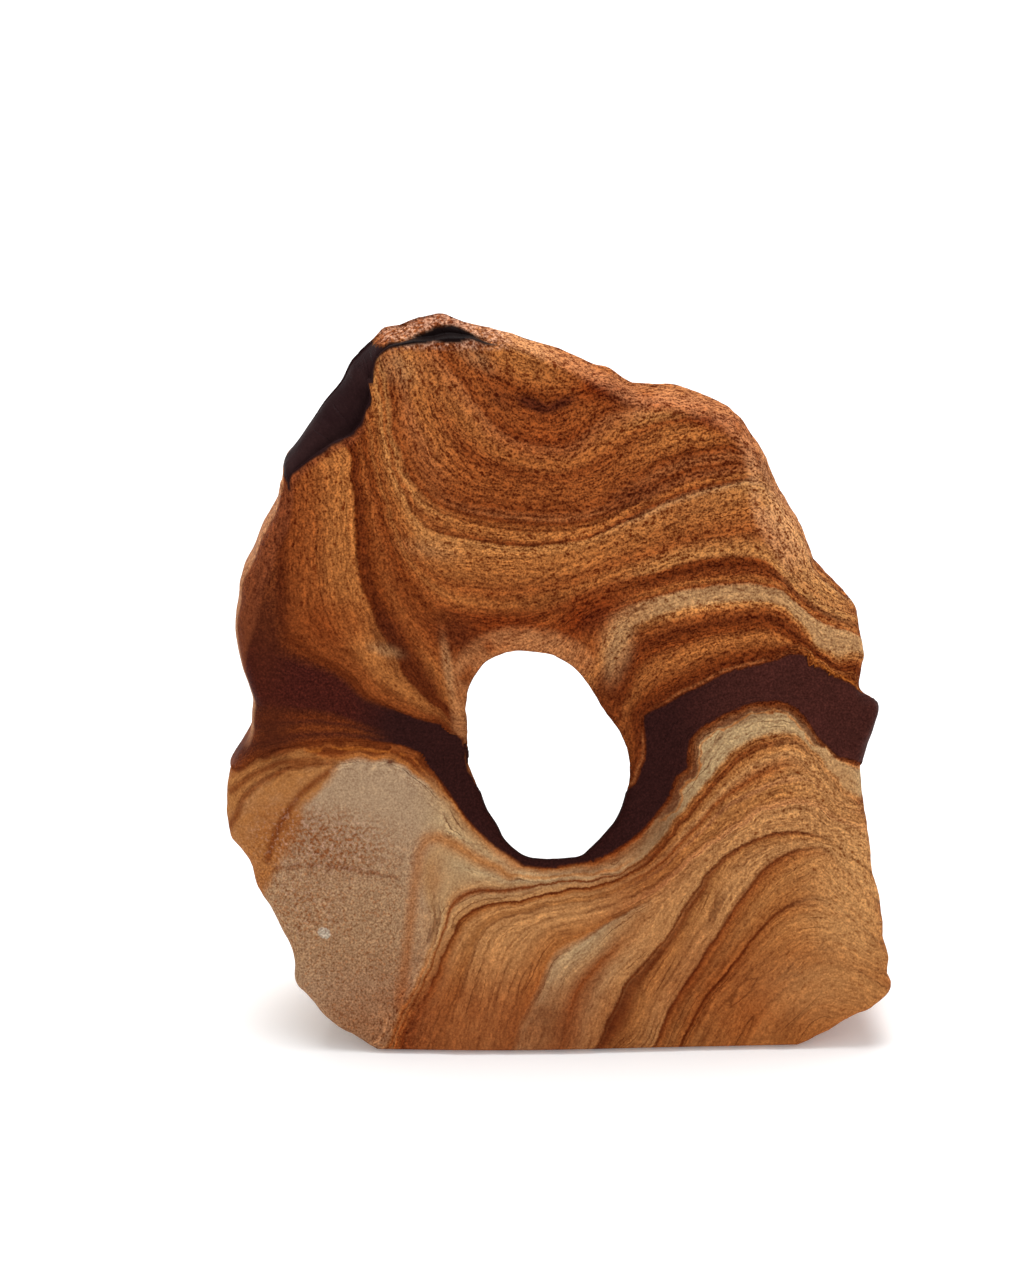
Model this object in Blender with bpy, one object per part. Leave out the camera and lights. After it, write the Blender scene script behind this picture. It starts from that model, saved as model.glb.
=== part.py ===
"""Sandstone freeform: a standing slab of banded sandstone, sawn, smoothed and holed.

The stone is one body. Its outer surface closes on itself round the hole, so it is
made as a ring of sections. Each section is a closed line that starts at the mouth of
the hole, runs over the front face to the rim, round the rim, down the back and
through the wall of the hole to where it started. All lengths here are millimetres.
"""
import math

import bmesh
import bpy
import numpy as np

MM = 0.001

# Driving dimensions of the slab
HOLE_CENTRE = (-1.5, 41.1)
FRONT_FOOT = -16.9
FACE_LEAN = math.radians(12.0)
BACK_FOOT = 15.9
BACK_LEAN = math.radians(-1.0)
BACK_BELLY = 2.2
BACK_BELLY_HEIGHT = 46.0
BACK_BELLY_REACH = 34.0

# The hole runs down towards the back and widens as it goes. Its lower mouth is placed by
# the depth of the back a little below the front mouth.
HOLE_DROP = math.tan(math.radians(15.0))
HOLE_FLARE = 0.11
HOLE_LIP = 1.7
HOLE_BACK_LIP = 3.2
HOLE_BACK_BELOW = 5.0

# Widest outline of the slab, seen square to its front: x to the right, z up
OUTLINE = (
    (43.4, 41.2), (43.7, 42.6), (44.6, 44.6), (45.4, 46.9), (44.8, 48.1), (43.3, 48.9),
    (42.7, 50.1), (42.8, 52.4), (43.2, 55.1), (42.7, 57.5), (42.3, 59.9), (41.1, 61.7),
    (39.9, 63.5), (38.3, 65.2), (36.4, 66.9), (35.4, 69.2), (34.4, 71.8), (32.5, 74.7),
    (30.8, 77.6), (28.9, 81.5), (27.1, 84.6), (25.4, 87.1), (22.9, 88.8), (20.3, 89.8),
    (18.1, 90.6), (15.7, 91.1), (13.0, 91.0), (10.4, 91.2), (8.9, 91.9), (6.8, 93.2),
    (4.6, 94.0), (2.4, 95.2), (-0.9, 96.5), (-4.0, 97.6), (-6.6, 98.4), (-9.4, 98.8),
    (-12.0, 99.3), (-14.5, 99.9), (-17.2, 100.3), (-20.6, 99.5), (-22.5, 98.7),
    (-24.8, 98.0), (-26.4, 96.5), (-28.3, 94.8), (-29.3, 93.7), (-30.8, 91.0),
    (-33.0, 88.7), (-34.5, 86.6), (-36.0, 84.6), (-37.7, 82.3), (-38.8, 80.8),
    (-39.0, 78.5), (-39.8, 75.1), (-41.8, 71.5), (-43.0, 68.3), (-44.5, 65.4),
    (-45.2, 61.9), (-45.5, 59.4), (-45.4, 57.1), (-45.0, 54.7), (-44.5, 52.6),
    (-43.8, 50.3), (-43.0, 48.3), (-43.2, 46.3), (-43.3, 44.5), (-43.9, 42.4),
    (-45.0, 40.6), (-46.7, 37.8), (-47.2, 33.8), (-46.7, 29.7), (-45.3, 27.5),
    (-43.8, 25.2), (-42.8, 22.3), (-41.1, 19.3), (-39.4, 16.2), (-38.2, 14.0),
    (-37.6, 11.2), (-37.4, 8.9), (-36.1, 7.3), (-34.1, 5.3), (-31.7, 3.2), (-29.1, 1.8),
    (-26.4, 0.3), (-23.7, -0.8), (-14.7, -1.4), (0.3, -1.4), (15.3, -1.4), (30.3, -1.0),
    (34.3, 0.0), (37.6, 1.4), (41.0, 3.4), (44.6, 5.1), (46.6, 6.7), (47.4, 8.2),
    (46.8, 9.5), (47.1, 12.0), (46.5, 14.6), (46.1, 17.1), (45.9, 19.3), (45.5, 21.1),
    (44.7, 23.5), (44.5, 27.0), (44.0, 30.0), (43.2, 33.9), (42.9, 37.0), (42.9, 39.3),
)

# Narrowest outline of the hole, just behind its rounded mouth
HOLE_OUTLINE = (
    (10.0, 40.6), (9.3, 43.0), (8.2, 45.0), (6.3, 47.4), (4.1, 50.8), (2.2, 53.1),
    (0.2, 54.3), (-1.6, 55.0), (-5.5, 55.5), (-8.0, 55.1), (-10.3, 54.0), (-11.8, 52.2),
    (-12.8, 50.2), (-13.1, 47.7), (-12.9, 45.2), (-12.9, 42.7), (-12.7, 39.8),
    (-11.5, 36.7), (-10.3, 33.6), (-8.9, 31.5), (-7.7, 29.3), (-5.9, 27.7), (-4.0, 26.8),
    (-1.3, 26.6), (1.1, 26.7), (3.3, 27.0), (5.0, 28.4), (7.0, 30.4), (8.4, 32.2),
    (9.4, 34.6), (10.0, 37.5), (10.1, 38.9),
)

# The rim, by angle round the hole in degrees, anticlockwise from the right.
# Each line holds: how far the front face ends inside the outline, how deep a ledge is
# stepped down behind that edge, and how far behind the face the outline is widest.
RIM = (
    (0, 2.2, 0.0, 4.0), (10, 1.8, 0.0, 4.0), (30, 2.0, 0.0, 4.5), (60, 2.2, 0.0, 5.0),
    (80, 1.6, 0.0, 5.0), (90, 1.2, 0.5, 4.5), (96, 1.0, 1.5, 5.5), (100, 1.4, 3.2, 6.5),
    (104, 2.1, 4.6, 8.0), (108, 1.9, 3.8, 8.0), (112, 1.5, 2.6, 8.0), (114.5, 1.7, 2.2, 8.0),
    (116, 3.4, 2.2, 8.0), (117.5, 5.0, 2.2, 8.0), (120.5, 5.9, 2.2, 8.0), (123, 5.1, 2.0, 7.5),
    (127, 3.7, 1.8, 7.0), (131, 2.2, 1.4, 7.0), (135, 1.6, 0.5, 6.0), (140, 2.0, 0.0, 5.0),
    (160, 2.5, 0.0, 4.5), (200, 2.4, 0.0, 4.0), (225, 1.8, 0.0, 3.0), (240, 1.3, 0.0, 2.2),
    (270, 1.3, 0.0, 2.2), (300, 1.3, 0.0, 2.2), (320, 1.8, 0.0, 3.0), (340, 2.2, 0.0, 4.0),
)
# A ledge has a small corner, a wall undercut by a little, and a foot where the shoulder
# starts. It is stepped in full where it is at least so deep.
LEDGE_CORNER = 0.5
LEDGE_UNDERCUT = 0.4
LEDGE_WALL = 0.8
LEDGE_FOOT = 0.12
LEDGE_FULL = 1.2

# The nub on the right, by the same angle: how far it stands out from the side behind it
NUB = ((0, 0.0), (5, 1.9), (8.5, 2.2), (9.8, 0.4), (12, 0.0), (180, 0.0))
NUB_FALL = 4

# The back edge, by the same angle: how far its rounding reaches in, and how deep it is
BACK_EDGE = (
    (0, 4.0, 5.0), (45, 5.0, 5.5), (90, 5.5, 5.5), (120, 6.0, 6.0), (150, 5.0, 5.5),
    (200, 4.5, 5.0), (235, 2.5, 3.5), (250, 1.5, 2.2), (290, 1.5, 2.2), (310, 2.5, 3.5),
)

# The sides draw in towards the back. They start above the base, and reach their whole
# taper where they run back far enough.
SIDE_TAPER = 2.4
SIDE_LUMP = 0.5
SIDE_LUMPS = 11
SIDE_LUMP_TWIST = 4.0
SIDE_START = 9.0
SIDE_FULL_RUN = 14.0
SIDE_LEAST_RUN = 0.6
SIDE_LEAST_TAPER = 0.15
TAPER_CURVE = 1.4

# Low swells of the front face: x, z, how wide they are and how far they stand out
SWELLS = (
    (-8.0, 4.0, 24.0, 1.6), (33.0, 6.0, 16.0, -0.5), (-24.0, 62.0, 15.0, 0.5),
    (22.0, 72.0, 17.0, 0.6), (30.0, 40.0, 12.0, 0.4), (-30.0, 30.0, 14.0, 0.4),
    (4.0, 78.0, 11.0, -0.4), (12.0, 14.0, 12.0, -0.3),
)
BACK_SWELLS = (
    (26.0, 34.0, 11.0, 0.9), (-28.0, 58.0, 12.0, 0.8), (18.0, 66.0, 10.0, -0.9),
    (-20.0, 14.0, 13.0, -0.8), (30.0, 10.0, 9.0, -0.7), (-12.0, 84.0, 9.0, 0.6),
    (4.0, 10.0, 10.0, 0.6),
)

# Directions that point down at least this steeply end on the ground
GROUND_SLOPE = 0.05

# How many sections go round the hole, and how many steps each stretch of one takes. The
# sections crowd at the outline's corners, and the front's steps crowd towards the rim.
SECTIONS = 104
CORNER_WEIGHT = 1.5
FACE_STEPS = 9
FACE_CROWDING = 0.12
RIM_STEPS = 9
SIDE_STEPS = 5
BACK_EDGE_STEPS = 4
BACK_STEPS = 8
HOLE_BACK_STEPS = 2
WALL_STEPS = 5
MOUTH_STEPS = 3

STONE_COLOUR = (0.42, 0.19, 0.075, 1.0)
STONE_ROUGHNESS = 0.88


def smooth_loop(points, steps=12):
    """A closed Catmull-Rom curve through the points, with some steps between each two."""
    p = np.array(points, float)
    before, after, beyond = np.roll(p, 1, 0), np.roll(p, -1, 0), np.roll(p, -2, 0)
    t = (np.arange(steps) / steps)[None, :, None]
    a, b, c, d = (q[:, None, :] for q in (before, p, after, beyond))
    curve = 0.5 * (2 * b + (c - a) * t + (2 * a - 5 * b + 4 * c - d) * t**2
                   + (3 * b - a - 3 * c + d) * t**3)
    return curve.reshape(-1, 2)


def radius_at(points, angles):
    """How far the closed curve lies from the hole's centre in the given directions."""
    curve = smooth_loop(points) - HOLE_CENTRE
    turn = np.arctan2(curve[:, 1], curve[:, 0]) % math.tau
    order = np.argsort(turn)
    return np.interp(angles, turn[order], np.hypot(*curve.T)[order], period=math.tau)


def along_rim(table, column, angles):
    """One column of a table by angle, eased from each entry to the next."""
    rows = np.array(table, float)
    turn = np.radians(np.append(rows[:, 0], rows[0, 0] + 360.0))
    value = np.append(rows[:, column], rows[0, column])
    at = np.clip(np.searchsorted(turn, angles, side="right") - 1, 0, len(turn) - 2)
    t = (angles - turn[at]) / (turn[at + 1] - turn[at])
    return value[at] + (value[at + 1] - value[at]) * t * t * (3 - 2 * t)


def even_angles(count):
    """Directions from the hole that share the outline out evenly, closer at its corners."""
    loop = smooth_loop(OUTLINE)
    loop[:, 1] = np.maximum(loop[:, 1], 0.0)
    ahead = np.roll(loop, -1, 0) - loop
    heading = np.arctan2(ahead[:, 1], ahead[:, 0])
    bend = np.abs(np.angle(np.exp(1j * (np.roll(heading, -1) - heading))))
    step = np.hypot(*ahead.T) + CORNER_WEIGHT * bend
    travelled = np.concatenate(([0.0], np.cumsum(step)))
    closed = np.vstack((loop, loop[:1]))
    wanted = np.arange(count) / count * travelled[-1]
    x = np.interp(wanted, travelled, closed[:, 0]) - HOLE_CENTRE[0]
    z = np.interp(wanted, travelled, closed[:, 1]) - HOLE_CENTRE[1]
    return np.sort(np.arctan2(z, x) % math.tau)


def front(x, z):
    """Depth of the front face: a plane that leans back, with its low swells."""
    y = FRONT_FOOT + z * math.tan(FACE_LEAN)
    for centre_x, centre_z, width, height in SWELLS:
        y = y - height * np.exp(-((x - centre_x)**2 + (z - centre_z)**2) / width**2)
    return y


def back(x, z):
    """Depth of the back: nearly upright, with one broad belly and its own swells."""
    belly = np.exp(-((z - BACK_BELLY_HEIGHT) / BACK_BELLY_REACH)**2)
    y = BACK_FOOT + z * math.tan(BACK_LEAN) + BACK_BELLY * belly
    for centre_x, centre_z, width, height in BACK_SWELLS:
        y = y + height * np.exp(-((x - centre_x)**2 + (z - centre_z)**2) / width**2)
    return y


def steps_to(count):
    """Fractions of a stretch, from just after its start up to its end."""
    return (np.arange(count) + 1) / count


def stone_points():
    """The whole surface, one row for each step of a section, one column for each section."""
    angles = even_angles(SECTIONS)
    across, upward = np.cos(angles), np.sin(angles)
    slope = np.maximum(-upward, GROUND_SLOPE)
    base = np.where(-upward > GROUND_SLOPE, HOLE_CENTRE[1] / slope, np.inf)
    outline = np.minimum(radius_at(OUTLINE, angles), base)
    mouth = radius_at(HOLE_OUTLINE, angles)
    inset = along_rim(RIM, 1, angles)
    ledge = along_rim(RIM, 2, angles)
    widest = along_rim(RIM, 3, angles)
    nub = along_rim(NUB, 1, angles)
    edge_in = along_rim(BACK_EDGE, 1, angles)
    edge_deep = along_rim(BACK_EDGE, 2, angles)

    def place(radius, lowered=0.0):
        """x and z at a distance from the hole's centre, moved down where the hole drops."""
        x = HOLE_CENTRE[0] + radius * across
        return x, HOLE_CENTRE[1] + radius * upward - lowered

    rows = []

    def face_row(radius):
        x, z = place(radius)
        rows.append((x, front(x, z), z))

    def rim_row(inward, deep):
        x, z = place(outline - inward)
        face_x, face_z = place(outline - inset)
        rows.append((x, front(face_x, face_z) + deep, z))

    # Front face, from the mouth of the hole to the edge of the rim
    for t in np.concatenate(([0.0], steps_to(FACE_STEPS))):
        inner, outer = mouth + HOLE_LIP, outline - inset
        face_row(inner + (outer - inner) * ((1 + FACE_CROWDING) * t - FACE_CROWDING * t**4))

    # Rim: a plain rounding, or a small corner, a ledge and then a shoulder
    stepped = np.clip(ledge / LEDGE_FULL, 0.0, 1.0)
    for k in range(1, RIM_STEPS + 1):
        turn = math.pi / 2 * k / RIM_STEPS
        plain_in, plain_deep = inset * (1 - math.sin(turn)), widest * (1 - math.cos(turn))
        if k == 1:
            step_in, step_deep = inset - LEDGE_CORNER, np.full_like(ledge, LEDGE_CORNER)
        elif k == 2:
            step_in, step_deep = inset - LEDGE_CORNER + LEDGE_UNDERCUT, ledge * LEDGE_WALL
        else:
            turn = math.pi / 2 * (k - 3) / (RIM_STEPS - 3)
            start = inset - LEDGE_CORNER + LEDGE_FOOT
            step_in = start * (1 - math.sin(turn))
            step_deep = ledge + (widest - ledge) * (1 - math.cos(turn))
        rim_row(plain_in + (step_in - plain_in) * stepped,
                plain_deep + (step_deep - plain_deep) * stepped)

    # Side, from the widest line to where the back edge starts to round
    wide_x, wide_z = place(outline)
    edge_x, edge_z = place(outline - inset)
    through = back(wide_x, wide_z) - front(edge_x, edge_z)
    edge_deep = np.minimum(edge_deep, through - widest - SIDE_LEAST_RUN)
    run = through - edge_deep - widest
    free = np.clip(wide_z / SIDE_START, 0.0, 1.0)
    taper = SIDE_TAPER * free * np.clip(run / SIDE_FULL_RUN, SIDE_LEAST_TAPER, 1.0)
    for t in steps_to(SIDE_STEPS):
        wave = np.sin(angles * SIDE_LUMPS + SIDE_LUMP_TWIST * t)
        lump = SIDE_LUMP * free * math.sin(math.pi * t) * wave
        fallen = nub * (1 - (1 - t)**NUB_FALL)
        rim_row(taper * t**TAPER_CURVE + fallen + lump, widest + run * t)

    # Back edge
    narrowed = taper + nub
    for t in steps_to(BACK_EDGE_STEPS):
        turn = math.pi / 2 * t
        rim_row(narrowed + edge_in * (1 - math.cos(turn)),
                widest + run + edge_deep * math.sin(turn))

    # Back face, from its rim in to the lower mouth of the hole
    lip_x, lip_z = place(mouth + HOLE_LIP)
    depth = back(lip_x, lip_z - HOLE_BACK_BELOW) - front(lip_x, lip_z)
    out_x, out_z = place(outline - narrowed - edge_in)
    in_x, in_z = place(mouth + HOLE_FLARE * depth + HOLE_BACK_LIP, HOLE_DROP * depth)
    for t in steps_to(BACK_STEPS):
        x, z = out_x + (in_x - out_x) * t, out_z + (in_z - out_z) * t
        rows.append((x, back(x, z), z))

    # Rounding of the lower mouth, then the wall, then the rounding of the front mouth
    start = rows[-1][1] - front(lip_x, lip_z)
    for t in steps_to(HOLE_BACK_STEPS):
        turn = math.pi / 2 * t
        deep = start - HOLE_BACK_LIP * (1 - math.cos(turn))
        radius = mouth + HOLE_FLARE * deep + HOLE_BACK_LIP * (1 - math.sin(turn))
        x, z = place(radius, HOLE_DROP * deep)
        rows.append((x, front(lip_x, lip_z) + deep, z))
    for t in steps_to(WALL_STEPS):
        deep = (start - HOLE_BACK_LIP) * (1 - t) + HOLE_LIP * t
        inward = deep - HOLE_LIP * t
        x, z = place(mouth + HOLE_FLARE * inward, HOLE_DROP * inward)
        rows.append((x, front(lip_x, lip_z) + deep, z))
    for t in steps_to(MOUTH_STEPS)[:-1]:
        turn = math.pi / 2 * t
        x, z = place(mouth + HOLE_LIP * (1 - math.cos(turn)))
        rows.append((x, front(lip_x, lip_z) + HOLE_LIP * (1 - math.sin(turn)), z))
    return np.array(rows).transpose(0, 2, 1)


def make_stone():
    """Joins the rows of points into one closed skin and gives it its material."""
    points = stone_points() * MM
    mesh = bmesh.new()
    verts = [[mesh.verts.new(point) for point in row] for row in points]
    for row in range(len(verts)):
        near, far = verts[row], verts[(row + 1) % len(verts)]
        for column in range(SECTIONS):
            beside = (column + 1) % SECTIONS
            mesh.faces.new((near[column], far[column], far[beside], near[beside]))
    bmesh.ops.triangulate(mesh, faces=mesh.faces[:], quad_method="SHORT_EDGE")
    bmesh.ops.recalc_face_normals(mesh, faces=mesh.faces[:])

    data = bpy.data.meshes.new("stone")
    mesh.to_mesh(data)
    mesh.free()
    data.shade_smooth()

    material = bpy.data.materials.new("sandstone")
    material.use_nodes = True
    shader = material.node_tree.nodes["Principled BSDF"]
    shader.inputs["Base Color"].default_value = STONE_COLOUR
    shader.inputs["Roughness"].default_value = STONE_ROUGHNESS
    data.materials.append(material)

    stone = bpy.data.objects.new("stone", data)
    bpy.context.scene.collection.objects.link(stone)
    return stone


for leftover in list(bpy.data.objects):
    bpy.data.objects.remove(leftover, do_unlink=True)
make_stone()
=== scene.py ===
import math

import bpy
import numpy as np
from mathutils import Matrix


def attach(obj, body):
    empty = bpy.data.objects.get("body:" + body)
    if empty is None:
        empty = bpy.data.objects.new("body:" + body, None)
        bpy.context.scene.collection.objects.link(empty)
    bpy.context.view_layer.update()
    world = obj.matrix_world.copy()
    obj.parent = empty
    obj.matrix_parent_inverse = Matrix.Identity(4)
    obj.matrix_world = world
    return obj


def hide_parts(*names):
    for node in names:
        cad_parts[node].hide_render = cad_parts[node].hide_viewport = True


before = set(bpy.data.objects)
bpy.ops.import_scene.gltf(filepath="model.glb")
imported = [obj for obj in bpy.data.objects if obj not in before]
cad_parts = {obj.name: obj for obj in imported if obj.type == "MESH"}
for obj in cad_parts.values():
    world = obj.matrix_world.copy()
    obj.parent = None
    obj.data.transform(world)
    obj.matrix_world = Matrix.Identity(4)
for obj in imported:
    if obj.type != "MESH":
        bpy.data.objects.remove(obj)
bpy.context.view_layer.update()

# The stone: one slab of banded sandstone, broken and ground to a standing wedge, with a
# hole worn through it. It leans back and rests on the flat ground under its foot. Its
# skin closes on itself round the hole, so it is a ring of sections, like a tyre's.

# Lengths are in millimetres up to the mesh: x to the right, y away, z up
MM = 0.001
HOLE_CENTRE = (-1.5, 41.1)
FRONT_FOOT = -16.9
FACE_LEAN = math.radians(12.0)
BACK_FOOT = 15.9
BACK_LEAN = math.radians(-1.0)
BACK_BELLY = 2.2
BACK_BELLY_HEIGHT = 46.0
BACK_BELLY_REACH = 34.0


def points(*numbers):
    """Points from plain numbers, two for each."""
    return np.reshape(numbers, (-1, 2))


# Widest outline of the slab, seen square to its front
OUTLINE = points(
    43.4, 41.2, 43.7, 42.6, 44.6, 44.6, 45.4, 46.9, 44.8, 48.1, 43.3, 48.9, 42.7, 50.1, 42.8, 52.4,
    43.2, 55.1, 42.7, 57.5, 42.3, 59.9, 41.1, 61.7, 39.9, 63.5, 38.3, 65.2, 36.4, 66.9, 35.4, 69.2,
    34.4, 71.8, 32.5, 74.7, 30.8, 77.6, 28.9, 81.5, 27.1, 84.6, 25.4, 87.1, 22.9, 88.8, 20.3, 89.8,
    18.1, 90.6, 15.7, 91.1, 13, 91, 10.4, 91.2, 8.9, 91.9, 6.8, 93.2, 4.6, 94, 2.4, 95.2,
    -0.9, 96.5, -4, 97.6, -6.6, 98.4, -9.4, 98.8, -12, 99.3, -14.5, 99.9, -17.2, 100.3,
    -20.6, 99.5, -22.5, 98.7, -24.8, 98, -26.4, 96.5, -28.3, 94.8, -29.3, 93.7, -30.8, 91,
    -33, 88.7, -34.5, 86.6, -36, 84.6, -37.7, 82.3, -38.8, 80.8, -39, 78.5, -39.8, 75.1,
    -41.8, 71.5, -43, 68.3, -44.5, 65.4, -45.2, 61.9, -45.5, 59.4, -45.4, 57.1, -45, 54.7,
    -44.5, 52.6, -43.8, 50.3, -43, 48.3, -43.2, 46.3, -43.3, 44.5, -43.9, 42.4, -45, 40.6,
    -46.7, 37.8, -47.2, 33.8, -46.7, 29.7, -45.3, 27.5, -43.8, 25.2, -42.8, 22.3, -41.1, 19.3,
    -39.4, 16.2, -38.2, 14, -37.6, 11.2, -37.4, 8.9, -36.1, 7.3, -34.1, 5.3, -31.7, 3.2,
    -29.1, 1.8, -26.4, 0.3, -23.7, -0.8, -14.7, -1.4, 0.3, -1.4, 15.3, -1.4, 30.3, -1, 34.3, 0,
    37.6, 1.4, 41, 3.4, 44.6, 5.1, 46.6, 6.7, 47.4, 8.2, 46.8, 9.5, 47.1, 12, 46.5, 14.6,
    46.1, 17.1, 45.9, 19.3, 45.5, 21.1, 44.7, 23.5, 44.5, 27, 44, 30, 43.2, 33.9, 42.9, 37,
    42.9, 39.3,
)

# Narrowest outline of the hole, just behind its rounded mouth. The hole drops towards
# the back and widens as it goes.
HOLE_OUTLINE = points(
    10, 40.6, 9.3, 43, 8.2, 45, 6.3, 47.4, 4.1, 50.8, 2.2, 53.1, 0.2, 54.3, -1.6, 55, -5.5, 55.5,
    -8, 55.1, -10.3, 54, -11.8, 52.2, -12.8, 50.2, -13.1, 47.7, -12.9, 45.2, -12.9, 42.7,
    -12.7, 39.8, -11.5, 36.7, -10.3, 33.6, -8.9, 31.5, -7.7, 29.3, -5.9, 27.7, -4, 26.8,
    -1.3, 26.6, 1.1, 26.7, 3.3, 27, 5, 28.4, 7, 30.4, 8.4, 32.2, 9.4, 34.6, 10, 37.5, 10.1, 38.9,
)
HOLE_DROP = math.tan(math.radians(15.0))
HOLE_FLARE = 0.11
HOLE_LIP = 1.7
HOLE_BACK_LIP = 3.2
HOLE_BACK_BELOW = 5.0

# The rim, by angle round the hole in degrees, anticlockwise from the right: how far the
# front ends inside the outline, how deep a ledge is broken down behind that edge, and
# how far behind the front the outline is widest
RIM = (
    (0, 2.2, 0, 4), (10, 1.8, 0, 4), (30, 2, 0, 4.5), (60, 2.2, 0, 5), (80, 1.6, 0, 5),
    (90, 1.2, 0.5, 4.5), (96, 1, 1.5, 5.5), (100, 1.4, 3.2, 6.5), (104, 2.1, 4.6, 8),
    (108, 1.9, 3.8, 8), (112, 1.5, 2.6, 8), (114.5, 1.7, 2.2, 8), (116, 3.4, 2.2, 8),
    (117.5, 5, 2.2, 8), (120.5, 5.9, 2.2, 8), (123, 5.1, 2, 7.5), (127, 3.7, 1.8, 7),
    (131, 2.2, 1.4, 7), (135, 1.6, 0.5, 6), (140, 2, 0, 5), (160, 2.5, 0, 4.5), (200, 2.4, 0, 4),
    (225, 1.8, 0, 3), (240, 1.3, 0, 2.2), (270, 1.3, 0, 2.2), (300, 1.3, 0, 2.2), (320, 1.8, 0, 3),
    (340, 2.2, 0, 4),
)
LEDGE_CORNER = 0.5
LEDGE_UNDERCUT = 0.4
LEDGE_FOOT = 0.12
LEDGE_FULL = 1.2
# Where along the rim its corner ends, its wall starts and ends, and its shoulder starts
CORNER_END = 0.12
WALL_START, WALL_END = 0.08, 0.30
SHOULDER_START = 0.26

# The chipped front edge above the broken shoulder and the groove at the top left, the
# angles over which it takes over from the rim's inset and gives way to it again, and
# the least that it lies inside the outline
CHIPPED_EDGE = points(
    -38, 79.6, -35.8, 81.3, -33.2, 83.2, -31.4, 84.3, -29.1, 85.2, -27.6, 86.9, -26.9, 88.9,
    -26.2, 90.3, -26.1, 92.1, -26.8, 93.3, -26, 94.4, -25.6, 95.7, -24.9, 96.5, -23.6, 97.4,
    -22.2, 97.7, -20.1, 98.1, -17.9, 98.1, -15.8, 98.5, -13.3, 98.5, -11.6, 98.5,
)
CHIPPED_FROM = (98.0, 101.0)
CHIPPED_TO = (131.5, 133.5)
CHIPPED_LEAST = 0.9

# The nub on the right, by the same angle: how far it stands out from the side behind it
NUB = ((0, 0), (5, 1.9), (8.5, 2.2), (9.8, 0.4), (12, 0), (180, 0))
NUB_FALL = 4

# The back edge, by the same angle: how far its rounding reaches in, and how deep it is
BACK_EDGE = (
    (0, 4, 5), (45, 5, 5.5), (90, 5.5, 5.5), (120, 6, 6), (150, 5, 5.5), (200, 4.5, 5),
    (235, 2.5, 3.5), (250, 1.5, 2.2), (290, 1.5, 2.2), (310, 2.5, 3.5),
)

# The sides draw in towards the back from a little above the foot
SIDE_TAPER = 2.4
SIDE_LUMP = 0.5
SIDE_LUMPS = 11
SIDE_LUMP_TWIST = 4.0
SIDE_START = 9.0
SIDE_FULL_RUN = 14.0
SIDE_LEAST_RUN = 0.6
SIDE_LEAST_TAPER = 0.15
TAPER_CURVE = 1.4

# Low swells of the front and of the back: x, z, how wide they are, how far they stand out
SWELLS = (
    (-8, 4, 24, 1.6), (33, 6, 16, -0.5), (-24, 62, 15, 0.5), (22, 72, 17, 0.6), (30, 40, 12, 0.4),
    (-30, 30, 14, 0.4), (4, 78, 11, -0.4), (12, 14, 12, -0.3),
)
BACK_SWELLS = (
    (26, 34, 11, 0.9), (-28, 58, 12, 0.8), (18, 66, 10, -0.9), (-20, 14, 13, -0.8),
    (30, 10, 9, -0.7), (-12, 84, 9, 0.6), (4, 10, 10, 0.6),
)

# Directions that point down at least this steeply end on the ground
GROUND_SLOPE = 0.05

# How many sections go round the hole, and how many steps each stretch of one takes
SECTIONS = 560
CORNER_WEIGHT = 1.5
FACE_STEPS = 84
FACE_CROWDING = 0.12
RIM_STEPS = 30
SIDE_STEPS = 14
BACK_EDGE_STEPS = 8
BACK_STEPS = 22
HOLE_BACK_STEPS = 4
WALL_STEPS = 10
MOUTH_STEPS = 5


def smooth_loop(corners, steps=12):
    """A closed Catmull-Rom curve: between each two points, the cubic set by four of them."""
    before, after, beyond = (np.roll(corners, by, 0) for by in (1, -1, -2))
    t = (np.arange(steps) / steps)[None, :, None]
    a, b, c, d = (q[:, None, :] for q in (before, corners, after, beyond))
    curve = 0.5 * (2 * b + (c - a) * t + (2 * a - 5 * b + 4 * c - d) * t**2
                   + (3 * b - a - 3 * c + d) * t**3)
    return curve.reshape(-1, 2)


def radius_at(curve, angles):
    """Distance from the hole's centre to a curve, in the given directions."""
    reach = curve - HOLE_CENTRE
    turn = np.arctan2(reach[:, 1], reach[:, 0]) % math.tau
    order = np.argsort(turn)
    return np.interp(angles, turn[order], np.hypot(*reach.T)[order], period=math.tau)


def along_rim(table, column, angles):
    """One column of a table by angle, eased from each entry to the next: 3t^2 - 2t^3."""
    rows = np.array(table, float)
    turn = np.radians(np.append(rows[:, 0], rows[0, 0] + 360.0))
    value = np.append(rows[:, column], rows[0, column])
    at = np.clip(np.searchsorted(turn, angles, side="right") - 1, 0, len(turn) - 2)
    t = (angles - turn[at]) / (turn[at + 1] - turn[at])
    return value[at] + (value[at + 1] - value[at]) * t * t * (3 - 2 * t)


def ease(value, low, high):
    """0 below low, 1 above high, and 3t^2 - 2t^3 between."""
    t = np.clip((value - low) / (high - low), 0.0, 1.0)
    return t * t * (3 - 2 * t)


def even_angles(count):
    """Directions that share the outline out by its length plus a weight for each bend."""
    loop = smooth_loop(OUTLINE)
    loop[:, 1] = np.maximum(loop[:, 1], 0.0)
    ahead = np.roll(loop, -1, 0) - loop
    heading = np.arctan2(ahead[:, 1], ahead[:, 0])
    bend = np.abs(np.angle(np.exp(1j * (np.roll(heading, -1) - heading))))
    travelled = np.append(0.0, np.cumsum(np.hypot(*ahead.T) + CORNER_WEIGHT * bend))
    closed = np.vstack((loop, loop[:1]))
    wanted = np.arange(count) / count * travelled[-1]
    x, z = (np.interp(wanted, travelled, closed[:, i]) - HOLE_CENTRE[i] for i in (0, 1))
    return np.sort(np.arctan2(z, x) % math.tau)


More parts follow.
